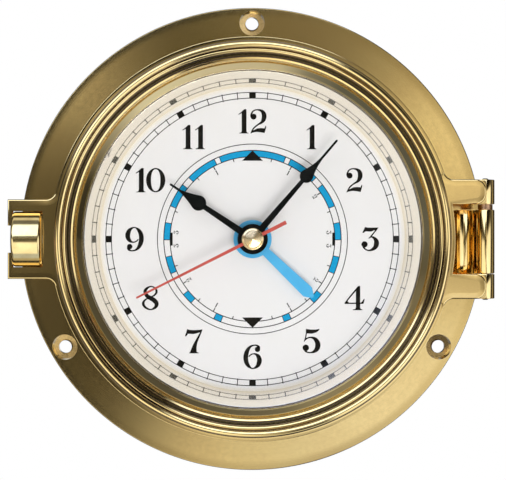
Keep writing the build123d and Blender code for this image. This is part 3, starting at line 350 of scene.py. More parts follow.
def from_front(radius, angle):
    """Axis parallel to the clock's own, at a radius and an angle in degrees."""
    place = radius * np.array([math.cos(math.radians(angle)), 0, math.sin(math.radians(angle))])
    return np.concatenate([[place], CLOCK_AXIS[1:]])


def rod(radius, first, last, steps, axis=CLOCK_AXIS):
    """Round rod along an axis, from one height to another, to cut a bore with."""
    return turned([(0, first), (radius, first), (radius, last), (0, last)], steps, axis)


case_outline = np.concatenate(
    [
        [(DRUM_BORE, 0.0), (FLANGE_RADIUS, 0.0), (FLANGE_RADIUS, 3.7), (74.93, 4.3)],
        arc((74.68, 4.93), (73.1, 4.978), (71.2, FLANGE_THICK), 6),
        arc((60.5, FLANGE_THICK), (59.4393, 5.4393), (DRUM_RADIUS, 6.5), 8),
        [(DRUM_RADIUS, DRUM_HEIGHT), (SEAT_RADIUS, DRUM_HEIGHT)],
        [(SEAT_RADIUS, SEAT_FLOOR), (DRUM_BORE, SEAT_FLOOR)],
        [(DRUM_BORE, LEDGE_TOP), (LEDGE_RADIUS, LEDGE_TOP)],
        [(LEDGE_RADIUS, LEDGE_FOOT), (DRUM_BORE, LEDGE_ROOT)],
    ]
)
post_foot, post_side = 3.2, 64.1
post_outline = np.concatenate(
    [
        [(post_side, post_foot)],
        arc((post_side, 25.6), (66.9, 24.85), (KNUCKLE_IN, DRUM_HEIGHT), 12),
        arc((KNUCKLE_IN, DRUM_HEIGHT), (HINGE_X, KNUCKLE_TOP), (KNUCKLE_OUT, DRUM_HEIGHT), 24)[1:],
        [(KNUCKLE_OUT, 14.0), (73.6, post_foot)],
    ]
)
post_ends = [(0.41, -10.75), (0.35, -10.75), (0.1, -10.65), (0, -10.4)]
post_ends += [(0, 8.85), (0.1, 9.1), (0.35, 9.2), (0.41, 9.2)]
keeper_in, keeper_half = 57.5, 4.0
half_turn = math.degrees(math.asin(keeper_half / ((keeper_in + DRUM_RADIUS) / 2)))
keeper_outline = [
    (r * math.cos(math.radians(180 + t)), r * math.sin(math.radians(180 + t)))
    for r, turns in ((keeper_in, (-1, 0, 1)), (DRUM_RADIUS, (1, 0, -1)))
    for t in (half_turn * k for k in turns)
]
screw_circle, screw_angles, screw_hole, screw_head = 70.0, (90, 210, 330), 2.1, 4.1
dial_screw_circle, dial_screw_angles, dial_screw_hole = 53.8, (30, 150, 270), 0.85
countersink = [(0, -1), (screw_hole, -1), (screw_hole, 3.0), (screw_head, FLANGE_THICK)]
countersink += [(screw_head + 1, FLANGE_THICK + 1), (0, FLANGE_THICK + 1)]
lacquered_brass = turned_brass(
    "lacquered_brass",
    (0.9, 0.62, 0.2),
    (0.83, 0.55, 0.17),
    roughness=0.07,
    line_width=0.5,
    line_depth=0.0004,
    coat=0.3,
    # Countersinks painted paler: a painted highlight in each.
    painted_highlight_holes=[
        (screw_circle * math.cos(a), screw_circle * math.sin(a)) for a in np.radians(screw_angles)
    ],
)
case_ring = turned(braced(eased(case_outline, radius=0.03)), RING_STEPS)
case = piece("case_casting", case_ring, material=lacquered_brass)
case_additions = piece(
    "case_additions",
    pushed(post_outline, post_ends, PLAN_AXIS),
    pushed(eased(keeper_outline, 0.2), [(0.2, 27.0), (0, 27.2), (0, 32.8), (0.2, 33.0)]),
)
case_holes = piece(
    "case_holes",
    *[turned(countersink, 72, from_front(screw_circle, a)) for a in screw_angles],
    *[
        rod(dial_screw_hole, 10, 25, 24, from_front(dial_screw_circle, a))
        for a in dial_screw_angles
    ],
    rod(1.3, -20, 20, 32, HINGE_LINE),
    rod(1.6, -62, -55, 24, LATCH_LINE),
)
combined(case, "UNION", case_additions)
combined(case, "DIFFERENCE", case_holes)
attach(case, "root")
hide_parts("case_body")

# Door: cast brass ring with two turned beads outside a sloping inner rim, two hinge ears at
# the right and the latch lug at the left, with a window and a notch for the thumb nut.
DOOR_FOOT, DOOR_BORE, LIP_RADIUS, GLASS_TOP = 28.3, 54.9, 52.4, 33.8
SHOULDER, EAR_INNER, EAR_OUTER, EAR_TIP = 62.8, 10.85, 18.55, 72.3
LUG_HALF, LUG_X = 12.3, -75.8
ROOT, TIP = 3.0, 3.1955
door_outline = np.concatenate(
    [
        arc((55.4, 37.35), (54.0, 35.75), (LIP_RADIUS, 34.5), 12),
        [(LIP_RADIUS, GLASS_TOP), (DOOR_BORE, GLASS_TOP), (DOOR_BORE, DOOR_FOOT)],
        [(57.0, DOOR_FOOT), (62.0, 30.55)],
        arc((61.35, 32.5), (60.95, 35.9), (60.9, 39.2), 12),
        arc((60.7, 39.2), (59.65, 40.4), (58.68, 39.25), 26),
        arc((58.62, 38.85), (58.3, 39.1), (57.35, 38.2), 16),
        [(57.22, 37.5), (56.42, 37.48), (56.25, 37.1), (56.1, 37.1), (55.9, 37.55)],
    ]
)


def root_round(edge_z, sign):
    """Fillet of radius ROOT between the ring's shoulder and a lug side at this height: its
    centre is ROOT above the side and ROOT outside the shoulder circle."""
    centre_z = edge_z + ROOT
    centre_x = math.sqrt((SHOULDER + ROOT) ** 2 - centre_z**2)
    on_circle = np.array([centre_x, centre_z]) * SHOULDER / (SHOULDER + ROOT)
    toward = np.array([-centre_x, -centre_z]) / (SHOULDER + ROOT) + np.array([0, -1])
    middle = np.array([centre_x, centre_z]) + ROOT * toward / np.hypot(*toward)
    points = arc((centre_x, edge_z), middle, on_circle, 12)
    return points * (sign, 1)


def shoulder_run(start, end, steps):
    """Points on the shoulder circle from one place to the other, ends left out."""
    first, last = math.atan2(start[1], start[0]), math.atan2(end[1], end[0])
    if last < first:
        last += TURN
    angles = np.linspace(first, last, steps + 1)[1:-1]
    return SHOULDER * np.stack([np.cos(angles), np.sin(angles)], 1)


def ear_tip(edge_z, sign):
    """Round corner of an ear, from its end to its side at this height; the sign says on
    which side of that height the ear lies."""
    middle = TIP * (1 - math.sqrt(0.5))
    return arc(
        (EAR_TIP, edge_z + sign * TIP),
        (EAR_TIP - middle, edge_z + sign * middle),
        (EAR_TIP - TIP, edge_z),
        10,
    )


ear_root = root_round(EAR_OUTER, 1)
lug_root = root_round(LUG_HALF, -1)
inner_corner = (math.sqrt(SHOULDER**2 - EAR_INNER**2), EAR_INNER)
upper = np.concatenate(
    [
        shoulder_run((SHOULDER, 0), inner_corner, 10),
        [inner_corner],
        ear_tip(EAR_INNER, 1)[::-1],
        ear_tip(EAR_OUTER, -1),
        ear_root,
        shoulder_run(ear_root[-1], lug_root[-1], 120),
        lug_root[::-1],
        [(LUG_X, LUG_HALF)],
    ]
)
lug_outline = np.concatenate([[(SHOULDER, 0.0)], upper, (upper * (1, -1))[::-1]])
lug_edge = np.where(np.hypot(*lug_outline.T) < SHOULDER + 0.01, 1.0, 2.2)
round_levels = [(0.88, 32.83), (0.84, 32.83), (0.2, 32.8), (0.16, 32.797), (0.1, 32.76)]
round_levels += [(0.04, 32.62), (0, 32.35), (0, 28.5), (0.1, DOOR_FOOT)]
window_out, window_in, window_half, notch_out, notch_half = -74.5, -65.0, 8.68, -77.0, 4.2
window = [(window_out, -window_half), (window_in, -window_half)]
window += [(window_in, window_half), (window_out, window_half), (window_out, notch_half)]
window += [(notch_out, notch_half), (notch_out, -notch_half), (window_out, -notch_half)]
pocket_turn = np.radians(180 + np.linspace(-4.45, 4.45, 9))
pocket_way = np.stack([np.cos(pocket_turn), np.sin(pocket_turn)], 1)
pocket = np.concatenate([57.0 * pocket_way, 59.5 * pocket_way[::-1]])
barrel = np.concatenate(
    [
        [(65.8, 29.3), (65.8, DOOR_FOOT)],
        arc((71.15, 25.4885), (KNUCKLE_OUT, DRUM_HEIGHT), (HINGE_X, KNUCKLE_TOP), 30),
        [(HINGE_X, 31.3), (70.0, 31.3)],
    ]
)
barrel_ends = [(0.31, 0), (0.25, 0), (0.07, 0.07), (0, 0.25)]


def ear_barrel(bottom):
    """The round end of a hinge ear with its web, from this height up."""
    top = bottom + (EAR_OUTER - EAR_INNER)
    levels = [(i, bottom + h) for i, h in barrel_ends]
    levels += [(i, top - h) for i, h in barrel_ends[::-1]]
    return pushed(barrel, levels, PLAN_AXIS)


door_brass = turned_brass(
    "door_brass",
    (0.9, 0.62, 0.2),
    (0.84, 0.56, 0.18),
    roughness=0.04,
    line_width=0.22,
    line_depth=0.0003,
    coat=0.3,
    # Grooves painted darker: painted shade between the beads.
    grooves=[(56.25, 0.35), (57.25, 0.3), (58.66, 0.25), (60.8, 0.25)],
)
door_turned = turned(braced(eased(door_outline, radius=0.06)), RING_STEPS)
door = piece("door_casting", door_turned, material=door_brass)
lugs = piece("door_lugs", pushed(lug_outline, round_levels, weight=lug_edge))
combined(lugs, "DIFFERENCE", piece("lug_bore", rod(55.9, 20, 40, 360)))
combined(lugs, "UNION", piece("ear_barrels", ear_barrel(EAR_INNER), ear_barrel(-EAR_OUTER)))
door_cuts = piece(
    "door_cuts",
    pushed(window, [(0, 27), (0, 34)]),
    pushed(pocket, [(0, 27), (0, 33.5)]),
    rod(1.275, -20, 20, 32, HINGE_LINE),
)
pin_bore = piece("pin_bore", rod(1.35, -65.5, -56.3, 24, LATCH_LINE))
combined(door, "UNION", lugs)
combined(door, "DIFFERENCE", door_cuts)
combined(door, "DIFFERENCE", pin_bore)
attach(door, "door")
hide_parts("door_ring")


# Thumb nut of the latch: a short barrel of polished brass, turned on its own axis, that
# stays in the lug's window and draws the pin.
nut_bore, nut_radius, nut_edge = 2.05, 8.55, 0.9
nut_far, nut_near = -74.35, -65.15
nut_centre = (-0.06975, -0.0306, 0)
nut_brass, nut_shader, nut_start = surface("nut_brass", Metallic=1.0)
nut_spot = own_place(nut_start, nut_centre)
nut_lines = lines_across(parts(nut_spot)[0], 4500.0, 3.0)
nut_wear = noise(nut_spot, 260.0, 5.0)
feed(
    nut_shader,
    Base_Color=nut_wear.between(0.3, 0.8).tint((0.9, 0.66, 0.24), (0.76, 0.52, 0.18)),
    Roughness=0.08 + 0.08 * nut_lines + 0.05 * nut_wear,
    Normal=relief(nut_lines + 0.3 * nut_wear, 0.0000008),
)
flat = nut_radius - nut_edge
out, back = nut_edge * math.sqrt(0.5), nut_edge * (1 - math.sqrt(0.5))
nut_outline = np.concatenate(
    [
        [(nut_bore, nut_far), (nut_bore, nut_near)],
        arc((flat, nut_near), (flat + out, nut_near - back), (nut_radius, nut_near - nut_edge), 12),
        arc((nut_radius, nut_far + nut_edge), (flat + out, nut_far + back), (flat, nut_far), 12),
    ]
)
thumb_nut = piece("thumb_nut", turned(braced(nut_outline), 180, LATCH_LINE), material=nut_brass)
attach(thumb_nut, "latch_nut_body")
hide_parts("latch_nut")


# Latch pin, hinge pin and hinge washer: a steel pin on the nut's thread, a drawn brass rod
# pressed through the ears, and a bronze washer on it. All are machined bright.
def rod_metal(name, colour, shade, roughness, along):
    """Bright machined metal with fine lines across the axis that along points to."""
    material, shader, start = surface(name, Metallic=1.0)
    spot = own_place(start)
    lines = lines_across(spot.vector("DOT_PRODUCT", along, "Value"), 5000.0, 2.0)
    wear = noise(spot, 600.0, 4.0)
    feed(
        shader,
        Base_Color=wear.between(0.35, 0.75).tint(colour, shade),
        Roughness=roughness + 0.1 * lines,
        Normal=relief(lines + wear, 0.000001),
    )
    return material


X_AXIS, Y_AXIS, Z_AXIS = (1, 0, 0), (0, 1, 0), (0, 0, 1)
pin_brass = rod_metal("pin_brass", (0.83, 0.6, 0.28), (0.68, 0.46, 0.2), 0.14, Z_AXIS)
latch_steel = rod_metal("latch_pin_steel", (0.6, 0.59, 0.57), (0.45, 0.44, 0.43), 0.22, X_AXIS)
bronze = rod_metal("washer_bronze", (0.55, 0.3, 0.13), (0.4, 0.22, 0.1), 0.25, Z_AXIS)
dress(pin_brass, "hinge_pin")
dress(latch_steel, "latch_pin")
dress(bronze, "hinge_washer")


# Glazing: a flat glass between a black rubber gasket and a threaded brass ring, which is
# screwed into the door from behind.
glass_material, glass_shader, glass_start = surface(
    "window_glass", Transmission_Weight=1.0, IOR=1.5, Base_Color=(0.985, 0.995, 0.99, 1)
)
smears = noise(own_place(glass_start), 60.0, 3.0)
feed(glass_shader, Roughness=0.003 * smears.between(0.45, 0.8))


def seen_instead(start, shader, other, share):
    """Lets another shader take the place of the material's own, by a share from 0 to 1."""
    own = Signal(start.tree, shader.outputs[0])
    mixed = start.node("MixShader", sockets={0: share, 1: own, 2: other})
    start.tree.links.new(mixed.socket, start.tree.nodes["Material Output"].inputs["Surface"])


def ray(start, kind):
    """1 on rays of this kind, else 0."""
    return start.node("LightPath", output=f"Is {kind} Ray")


clear = glass_start.node("BsdfTransparent", sockets={0: (0.985, 0.99, 0.985, 1)})
unbent = ray(glass_start, "Shadow").maths("MAXIMUM", ray(glass_start, "Diffuse"))
seen_instead(glass_start, glass_shader, clear, unbent)
dress(glass_material, "glass")


def rubber(name, colour):
    """Matt rubber: near black, dusty in its fine grain."""
    material, shader, start = surface(name, Specular_IOR_Level=0.35)
    grain = noise(own_place(start), 2500.0, 4.0)
    feed(
        shader,
        Base_Color=grain.between(0.3, 0.8).tint(colour, tuple(2.5 * c for c in colour)),
        Roughness=0.6 + 0.25 * grain,
        Normal=relief(grain, 0.00003),
    )
    return material


ring_brass = turned_brass("ring_brass", (0.8, 0.58, 0.27), (0.66, 0.45, 0.2), 0.2, 0.15, 0.002)
dress(rubber("gasket_rubber", (0.012, 0.012, 0.013)), "glass_gasket")
dress(ring_brass, "glass_retaining_ring")


# Reflector: spun brass ring, polished like a mirror, that flares from the dial to the glass
# and shows the dial's edge again.
DIAL_TOP = 20
mirror = turned_brass("mirror_brass", (0.95, 0.88, 0.75), (0.93, 0.85, 0.7), 0.03, 0.3, 0.0002)
mirror.node_tree.nodes["Principled BSDF"].inputs["Metallic"].default_value = 0.84
flare_rim, collar = 31.0, 57.4
flare_outline = [(48.1, DIAL_TOP), (52.1, flare_rim), (52.55, flare_rim), (51.5, DRUM_HEIGHT)]
flare_outline += [(collar, DRUM_HEIGHT), (collar, SEAT_FLOOR), (51.25, SEAT_FLOOR)]
flare_outline += [(48.6, DIAL_TOP)]
flare = turned(braced(eased(flare_outline, radius=0.06)), RING_STEPS)
reflector = piece("reflector_flare", flare, material=mirror)
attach(reflector, "root")
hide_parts("reflector_ring")


# Dial: aluminium plate sprayed white, held by three small steel screws under the reflector.
# Its outer edge, which the reflector shades, is painted warmer and darker: a painted warm shade.
dial_paint, dial_shader, dial_start = surface("dial_paint", Specular_IOR_Level=0.3)
dial_spot = own_place(dial_start)
# Painted shade: the dial's outer edge is tinted darker and warmer, standing in for the reflector's
# shade.
painted_edge_shade = radius_from_axis(dial_spot).between(0.0465, 0.0482) * 0.6
dial_grain = noise(dial_spot, 3000.0, 3.0)
feed(
    dial_shader,
    Base_Color=painted_edge_shade.tint((0.88, 0.85, 0.845), (0.85, 0.76, 0.6)),
    Roughness=0.42 + 0.08 * dial_grain,
    Normal=relief(dial_grain, 0.000004),
)
screw_steel = rod_metal("screw_steel", (0.58, 0.57, 0.55), (0.42, 0.41, 0.4), 0.25, Y_AXIS)
dress(dial_paint, "dial_plate")
dress(screw_steel, "dial_screws")


# Print on the dial: the minute track, the hours in a bold face with serifs and ball ends,
# and the tide scale with its blue tide marks. Screen-printed ink, a few hundredths thick.
INK_FOOT, BLUE_TOP, INK_TOP, ARROW_TOP = 19.99, 20.02, 20.03, 20.045
INK = [(0, INK_FOOT), (0, INK_TOP)]


def ink(name, colour, shade):
    """Printed ink: satin, a touch uneven in its density."""
    material, shader, start = surface(name, Specular_IOR_Level=0.06)
    grain = noise(own_place(start), 1500.0, 4.0)
    feed(
        shader,
        Base_Color=grain.between(0.3, 0.75).tint(colour, shade),
        Roughness=0.4 + 0.15 * grain,
        Normal=relief(grain, 0.000004),
    )
    return material


def fan(inner, outer, first, last, steps):
    """Outline of a part of a ring between two clockwise angles from twelve."""
    a = np.radians(90 - np.linspace(first, last, steps + 1))
    way = np.stack([np.cos(a), np.sin(a)], 1)
    return np.concatenate([inner * way, outer * way[::-1]])


def printed_ring(radius, width):
    """Thin printed circle, as a flat band turned once round."""
    low, high = radius - width / 2, radius + width / 2
    return turned([(low, INK_FOOT), (high, INK_FOOT), (high, INK_TOP), (low, INK_TOP)], 360)


def clockwise(angle):
    """Steps of 1 mm outwards and to the right of it, at a clockwise angle from twelve."""
    turn = math.radians(angle)
    outwards = np.array([math.sin(turn), math.cos(turn)])
    return outwards, np.array([math.cos(turn), -math.sin(turn)])


def tick(angle, inner, outer, width):
    """Short printed bar along a radius, at a clockwise angle from twelve."""
    outwards, side = clockwise(angle)
    corners = [(inner, -1), (inner, 1), (outer, 1), (outer, -1)]
    return pushed([r * outwards + w * width / 2 * side for r, w in corners], INK)


black_ink = ink("black_ink", (0.006, 0.005, 0.003), (0.014, 0.012, 0.009))
track = piece(
    "minute_track",
    printed_ring(44.5, 0.25),
    printed_ring(46.3, 0.25),
    *[tick(6 * k, 44.25, 46.6, 0.27) for k in range(60) if k % 5],
    *[pushed(fan(44.4, 46.4, 30 * k - 1.3, 30 * k + 1.3, 4), INK) for k in range(12)],
    material=black_ink,
)


def stroke(path, closed=False, samples=8):
    """Pen stroke of changing width: a smooth curve through (x, y, half width) marks, each
    span a cubic whose slopes are half the step between the marks on either side, pushed out
    to both sides and given the thickness of the ink."""
    marks = np.array(path, float)
    if closed:
        ends = marks[-1:], marks[:2]
    else:
        ends = 2 * marks[:1] - marks[1:2], 2 * marks[-1:] - marks[-2:-1]
    run = np.concatenate([ends[0], marks, ends[1]])
    t = (np.arange(samples) / samples)[:, None]
    p0, p1, p2, p3 = (run[k : len(run) - 3 + k, None] for k in range(4))
    curve = p1 + t * (p2 - p0) / 2 + t**2 * (p0 - 2.5 * p1 + 2 * p2 - p3 / 2)
    curve = (curve + t**3 * (1.5 * (p1 - p2) + (p3 - p0) / 2)).reshape(-1, 3)
    if not closed:
        curve = np.concatenate([curve, marks[-1:]])
        step = np.gradient(curve[:, :2], axis=0)
    else:
        step = np.roll(curve[:, :2], -1, 0) - np.roll(curve[:, :2], 1, 0)
    side = np.stack([-step[:, 1], step[:, 0]], 1) / np.hypot(*step.T)[:, None] * curve[:, 2:]
    return curve[:, :2] + side, curve[:, :2] - side, closed


def ribbon(left, right, closed):
    """Slab between two edges: quads along the top, the bottom and both walls."""
    count = len(left)
    flat = np.concatenate([left, right, left, right])
    height = np.repeat([INK_TOP, INK_FOOT], 2 * count)
    points = np.stack([flat[:, 0], -height, flat[:, 1]], 1) * MM
    a = np.arange(count if closed else count - 1)
    b = (a + 1) % count
    quads = []
    for i, j in ((0, 1), (3, 2), (2, 0), (1, 3)):
        corners = (i * count + a, i * count + b, j * count + b, j * count + a)
        quads.append(np.stack(corners, 1))
    faces = np.concatenate(quads).tolist()
    if not closed:
        faces += [[k, count + k, 3 * count + k, 2 * count + k] for k in (0, count - 1)]
    return points, faces


def ball(x, y, radius):
    """Round end of a stroke, as an outline."""
    turn = TURN * np.arange(40) / 40
    return np.stack([x + radius * np.cos(turn), y + radius * np.sin(turn)], 1)


# Each figure is drawn in hundredths of its height: its width, then pen strokes as marks of
# (x, y, half width) and solid outlines as corners of (x, y).
nought = [
    (39.5 + 29.3 * math.sin(t), 50 + 47.3 * math.cos(t), 2.7 + 7.4 * math.sin(t) ** 2)
    for t in np.arange(16) * TURN / 16
]
six = (
    [(67, 84, 3), (62, 93, 4), (52, 97.6, 3), (42.2, 97.3, 2.8), (31, 93.4, 4.2), (20.3, 82.5, 7),
     (12.6, 65.5, 9.3), (9.8, 46, 9.8), (12.5, 28.5, 9), (20, 14.5, 7), (29.5, 5.6, 3.8),
     (38, 2.4, 2.4), (49.6, 6, 4.5), (59.6, 15.2, 8), (65.2, 28.7, 9.8), (65.4, 41.4, 9.5),
     (60, 53.2, 7.8), (51.5, 60.6, 4.5), (41.4, 62.7, 2.6), (31.2, 59.3, 2.5), (22, 51, 2.2)],
    ball(57.8, 81, 11),
)
figures = {
    "0": (79, nought),
    "1": (
        41.3,
        [(3.2, 0), (41.3, 0), (41.3, 2.6), (36, 4), (33.5, 9), (33.5, 98), (31.5, 100), (24, 99.5),
         (12, 88), (0, 79.6), (1.5, 76.6), (8, 80), (13.8, 84), (13.8, 9), (11, 4), (3.2, 2.6)],
    ),
    "2": (
        68,
        [(5, 66, 3), (4.2, 76, 3.4), (10, 89, 2.8), (20, 95.8, 2.6), (31, 97, 2.8), (43, 94.5, 4.8),
         (53.5, 86, 8), (57.6, 72.3, 9.7), (55, 57, 8.6), (47, 45.5, 5.4), (30, 34.6, 3),
         (15, 21.5, 3), (5, 4, 2.6)],
        ball(14.2, 69, 12),
        [(0.4, -0.8), (13, 4), (28, 6.5), (46, 4.4), (59.4, 1.6), (62.5, 12), (66.4, 26),
         (65.6, 31), (63, 31), (58.5, 21), (45, 22.3), (29, 20.6), (12, 12), (5, 8)],
    ),
    "3": (
        74,
        [(66, 93, 2.5), (52, 76, 2.6), (40, 61, 2.8), (31, 52.6, 1.8)],
        [(33, 54.6, 1.6), (41, 59, 2.6), (52, 55, 5.2), (60.4, 45, 8.6), (63, 32.7, 10.5),
         (58, 17.5, 9), (45, 7, 5.4), (30, 3.4, 3), (17, 8.6, 3), (8, 18, 3.4)],
        ball(13.6, 28.4, 12.8),
        [(15.4, 100), (25, 97.4), (48, 96.8), (71.4, 97.8), (64, 88), (58, 82), (54, 87),
         (46, 82.6), (38.5, 80.6), (17.3, 81.7), (12, 76.6), (7.7, 74.6), (4.6, 77.6), (9.5, 86)],
    ),
    "4": (
        83.6,
        [(2.6, 27.6, 2.6), (30, 62.5, 3), (60, 96.6, 4)],
        [(34.7, 0), (74.7, 0), (74.7, 2.8), (68, 4.6), (65.3, 9), (65.3, 99), (60, 99.6), (50, 88),
         (47.6, 72), (47.6, 9), (44, 4.6), (34.7, 2.8)],
        [(0, 25.3), (77.3, 25.6), (80, 29), (83.6, 44.6), (81, 47.3), (72, 33.6), (66, 30.7),
         (19.5, 30.7), (15, 35), (12, 40), (5, 31)],
    ),
    "5": (
        75,
        [(17, 84, 2.4), (13.2, 62, 2.4), (8, 48, 2.2)],
        [(7.6, 49, 1.6), (14, 57, 2.8), (24, 63, 2.8), (36, 65, 3.2), (50, 60.4, 6.6),
         (60.4, 48, 9.6), (64.2, 33.4, 10.7), (60, 18, 9.6), (48.4, 7, 6), (35, 2.8, 2.8),
         (21, 4.4, 3), (10, 11, 3.4)],
        ball(14.6, 22.5, 13.2),
        [(14.8, 100), (34.3, 97.2), (56.4, 97.2), (71.8, 100.4), (68.2, 93), (58, 85.4),
         (39.4, 80.3), (19, 81.4), (15, 78)],
    ),
    "6": (75, *six),
    "7": (
        73.5,
        [(10.6, 100), (18, 96.7), (36, 95.2), (60.4, 96), (73.5, 99), (69.4, 86), (60.4, 64),
         (52.2, 43.7), (48.9, 23.3), (49.6, 7), (52, 4.4), (58, 2.8), (58, 0), (18.4, 0),
         (18.4, 2.8), (22.6, 5), (26, 15), (32.7, 31.4), (45.7, 55.9), (63.4, 86.6), (52.2, 82.4),
         (35.9, 79), (14.7, 80.4), (6, 69), (1, 71), (6.5, 85.3)],
    ),
    "8": (
        72,
        [(40, 97.2, 2.7), (26, 93, 4.2), (15.4, 82, 6.4), (15.4, 70, 7.4), (24, 57, 8.2),
         (37, 49, 8.8), (51, 40.6, 9.4), (61, 27, 8.8), (56, 12, 6), (38, 3, 2.8), (18, 9.6, 4.4),
         (7, 24, 5.6), (10, 37.6, 4.4), (22, 47.4, 3), (37, 53.6, 3), (52, 61.6, 3.4),
         (60.8, 74, 4.6), (56.6, 89.4, 3.6)],
    ),
}
figures["9"] = (75, [(75 - x, 100 - y, w) for x, y, w in six[0]], ball(75 - 57.8, 19, 11))


def figure(sign, size, move):
    """Forms of one figure: its marks scaled to size, and each point moved by move."""
    forms = []
    for marks in figures[sign][1:]:
        if len(marks[0]) == 3:
            left, right, closed = stroke(marks, closed=sign in "08")
            forms.append(ribbon(move(left * size / 100), move(right * size / 100), closed))
        else:
            soft = eased(np.array(marks) * size / 100, size / 60, 3, 25)
            forms.append(pushed(move(soft), INK))
    return forms


def numeral(text, gaps, size, radius, angle, upright=True):
    """Forms of a number, centred at a radius and a clockwise angle from twelve."""
    widths = [figures[sign][0] for sign in text]
    start_x = -(sum(widths) + sum(gaps)) / 2
    centre = radius * clockwise(angle)[0]
    up, right = clockwise(0 if upright else angle)
    forms = []
    for sign, width, gap in zip(text, widths, [*gaps, 0]):
        shift = start_x * size / 100

        def move(points, shift=shift):
            return centre + (points[:, :1] + shift) * right + (points[:, 1:] - size / 2) * up

        forms += figure(sign, size, move)
        start_x += width + gap
    return forms


gaps = {"10": [2], "11": [10], "12": [7]}
hour_size, hour_circle = 7.7, 37.2
hours = []
for hour in range(1, 13):
    text = str(hour)
    hours += numeral(text, gaps.get(text, []), hour_size, hour_circle, 30 * hour)
hour_numerals = piece("hour_numerals", *hours, material=black_ink)

half_hours = [13.5, 42.1, 70.4, 109.3, 138.7, 166.0]
tide_hours = [(28.3, "1"), (55.7, "2"), (122.6, "2"), (151.5, "1")]
blue_ends = [(0, 22.1), (25.6, 46), (52.1, 68), (79.2, 90.5)]
blue_ends += [(101.7, 113), (128.7, 136), (154, 159)]
edges = sorted({edge for pair in blue_ends[1:] for edge in pair} | {22.1})
scale_in, scale_out, small_size = 26.0, 28.0, 1.6
bar_in, bar_out, bar_half = 25.2, 25.9, 2.05
bar = [(bar_in, -bar_half), (bar_out, -bar_half), (bar_out, bar_half), (bar_in, bar_half)]
arrow_half, arrow_foot = 3.3, 24.75
tide_lines = [printed_ring(r, w) for r, w in ((30.0, 0.25), (scale_out, 0.28), (scale_in, 0.28))]
blue_forms = []
for side in (1, -1):
    tide_lines += [tick(side * a, scale_in, scale_out, 0.22) for a in edges]
    tide_lines += [tick(side * a, 25.0, scale_in, 0.28) for a in half_hours]
    tide_lines += [tick(side * a, 24.8, scale_in, 0.32) for a, _ in tide_hours]
    for a, sign in tide_hours:
        tide_lines += numeral(sign, [], small_size, 23.8, side * a, False)
    for a in (85, 95):
        tide_lines += numeral("3", [], small_size, 24.2, side * a, False)
    tide_lines.append(pushed([(side * x, z) for x, z in bar], INK))
    arrow = [(half, side * arrow_foot) for half in (-arrow_half, arrow_half)]
    arrow.append((0, side * scale_out))
    tide_lines.append(pushed(arrow, [(0, INK_FOOT), (0, ARROW_TOP)]))
    for a, b in blue_ends:
        band = fan(scale_in, scale_out, side * a, side * b, 12)
        blue_forms.append(pushed(band, [(0, INK_FOOT), (0, BLUE_TOP)]))
blue_ink = ink("blue_ink", (0.011, 0.33, 0.63), (0.016, 0.37, 0.68))
tide_marks = piece("tide_marks", *tide_lines, material=black_ink)
tide_bands = piece("tide_bands", *blue_forms, material=blue_ink)
for printed in (track, hour_numerals, tide_marks, tide_bands):
    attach(printed, "root")


# Hands: stamped from sheet and lacquered, pressed on their tubes; the brass cap is turned
# and pressed on the end of the second arbor.
def lacquer(name, colour, shade, roughness=0.35, gloss=0.4):
    """Sprayed lacquer on sheet metal: even colour, fine orange peel, thin clear edge."""
    material, shader, start = surface(name, Specular_IOR_Level=gloss)
    spot = own_place(start)
    cloud, peel = noise(spot, 300.0, 3.0), noise(spot, 4000.0, 2.0)
    feed(
        shader,
        Base_Color=cloud.between(0.3, 0.7).tint(colour, shade),
        Roughness=roughness + 0.12 * peel,
        Normal=relief(peel, 0.000003),
    )
    return material


def hand(name, material, height, angle, hub, bore, edge):
    """Stamped hand: one edge as marks of (place along the hand, half width), mirrored about
    its middle line, turned clockwise from twelve and pushed to the sheet's thickness. A ring
    with the tube's bore is its hub."""
    along, side = clockwise(angle)
    outline = np.concatenate([edge, (edge * (1, -1))[::-1]])
    outline = outline[:, :1] * along + outline[:, 1:] * side
    shoulder, top = height + 0.33, height + 0.4
    levels = [(0.04, height), (0, height + 0.04), (0, shoulder), (0.07, top)]
    blade = piece(name, pushed(outline, levels), material=material)
    rim = [(bore, height), (hub, height), (hub, shoulder), (hub - 0.07, top), (bore, top)]
    return combined(blade, "UNION", piece(name + "_hub", turned(rim, 120)))


def bulb_edge(foot, neck, bulb, bulb_radius, taper, tip):
    """Edge of a black hand: the shaft narrows from the foot to the neck, the bulb is part of a
    circle, and three marks of the taper lie on one hollow arc that runs into a thin point."""
    neck_place = bulb - math.sqrt(bulb_radius**2 - neck**2)
    bulb_end = (bulb + 0.45 * bulb_radius, 0.893 * bulb_radius)
    return np.concatenate(
        [
            [foot],
            arc((neck_place, neck), (bulb, bulb_radius), bulb_end, 22),
            arc(*taper, 12)[1:],
            arc((tip - 0.3, 0.35), (tip - 0.09, 0.25), (tip, 0.05), 4),
        ]
    )


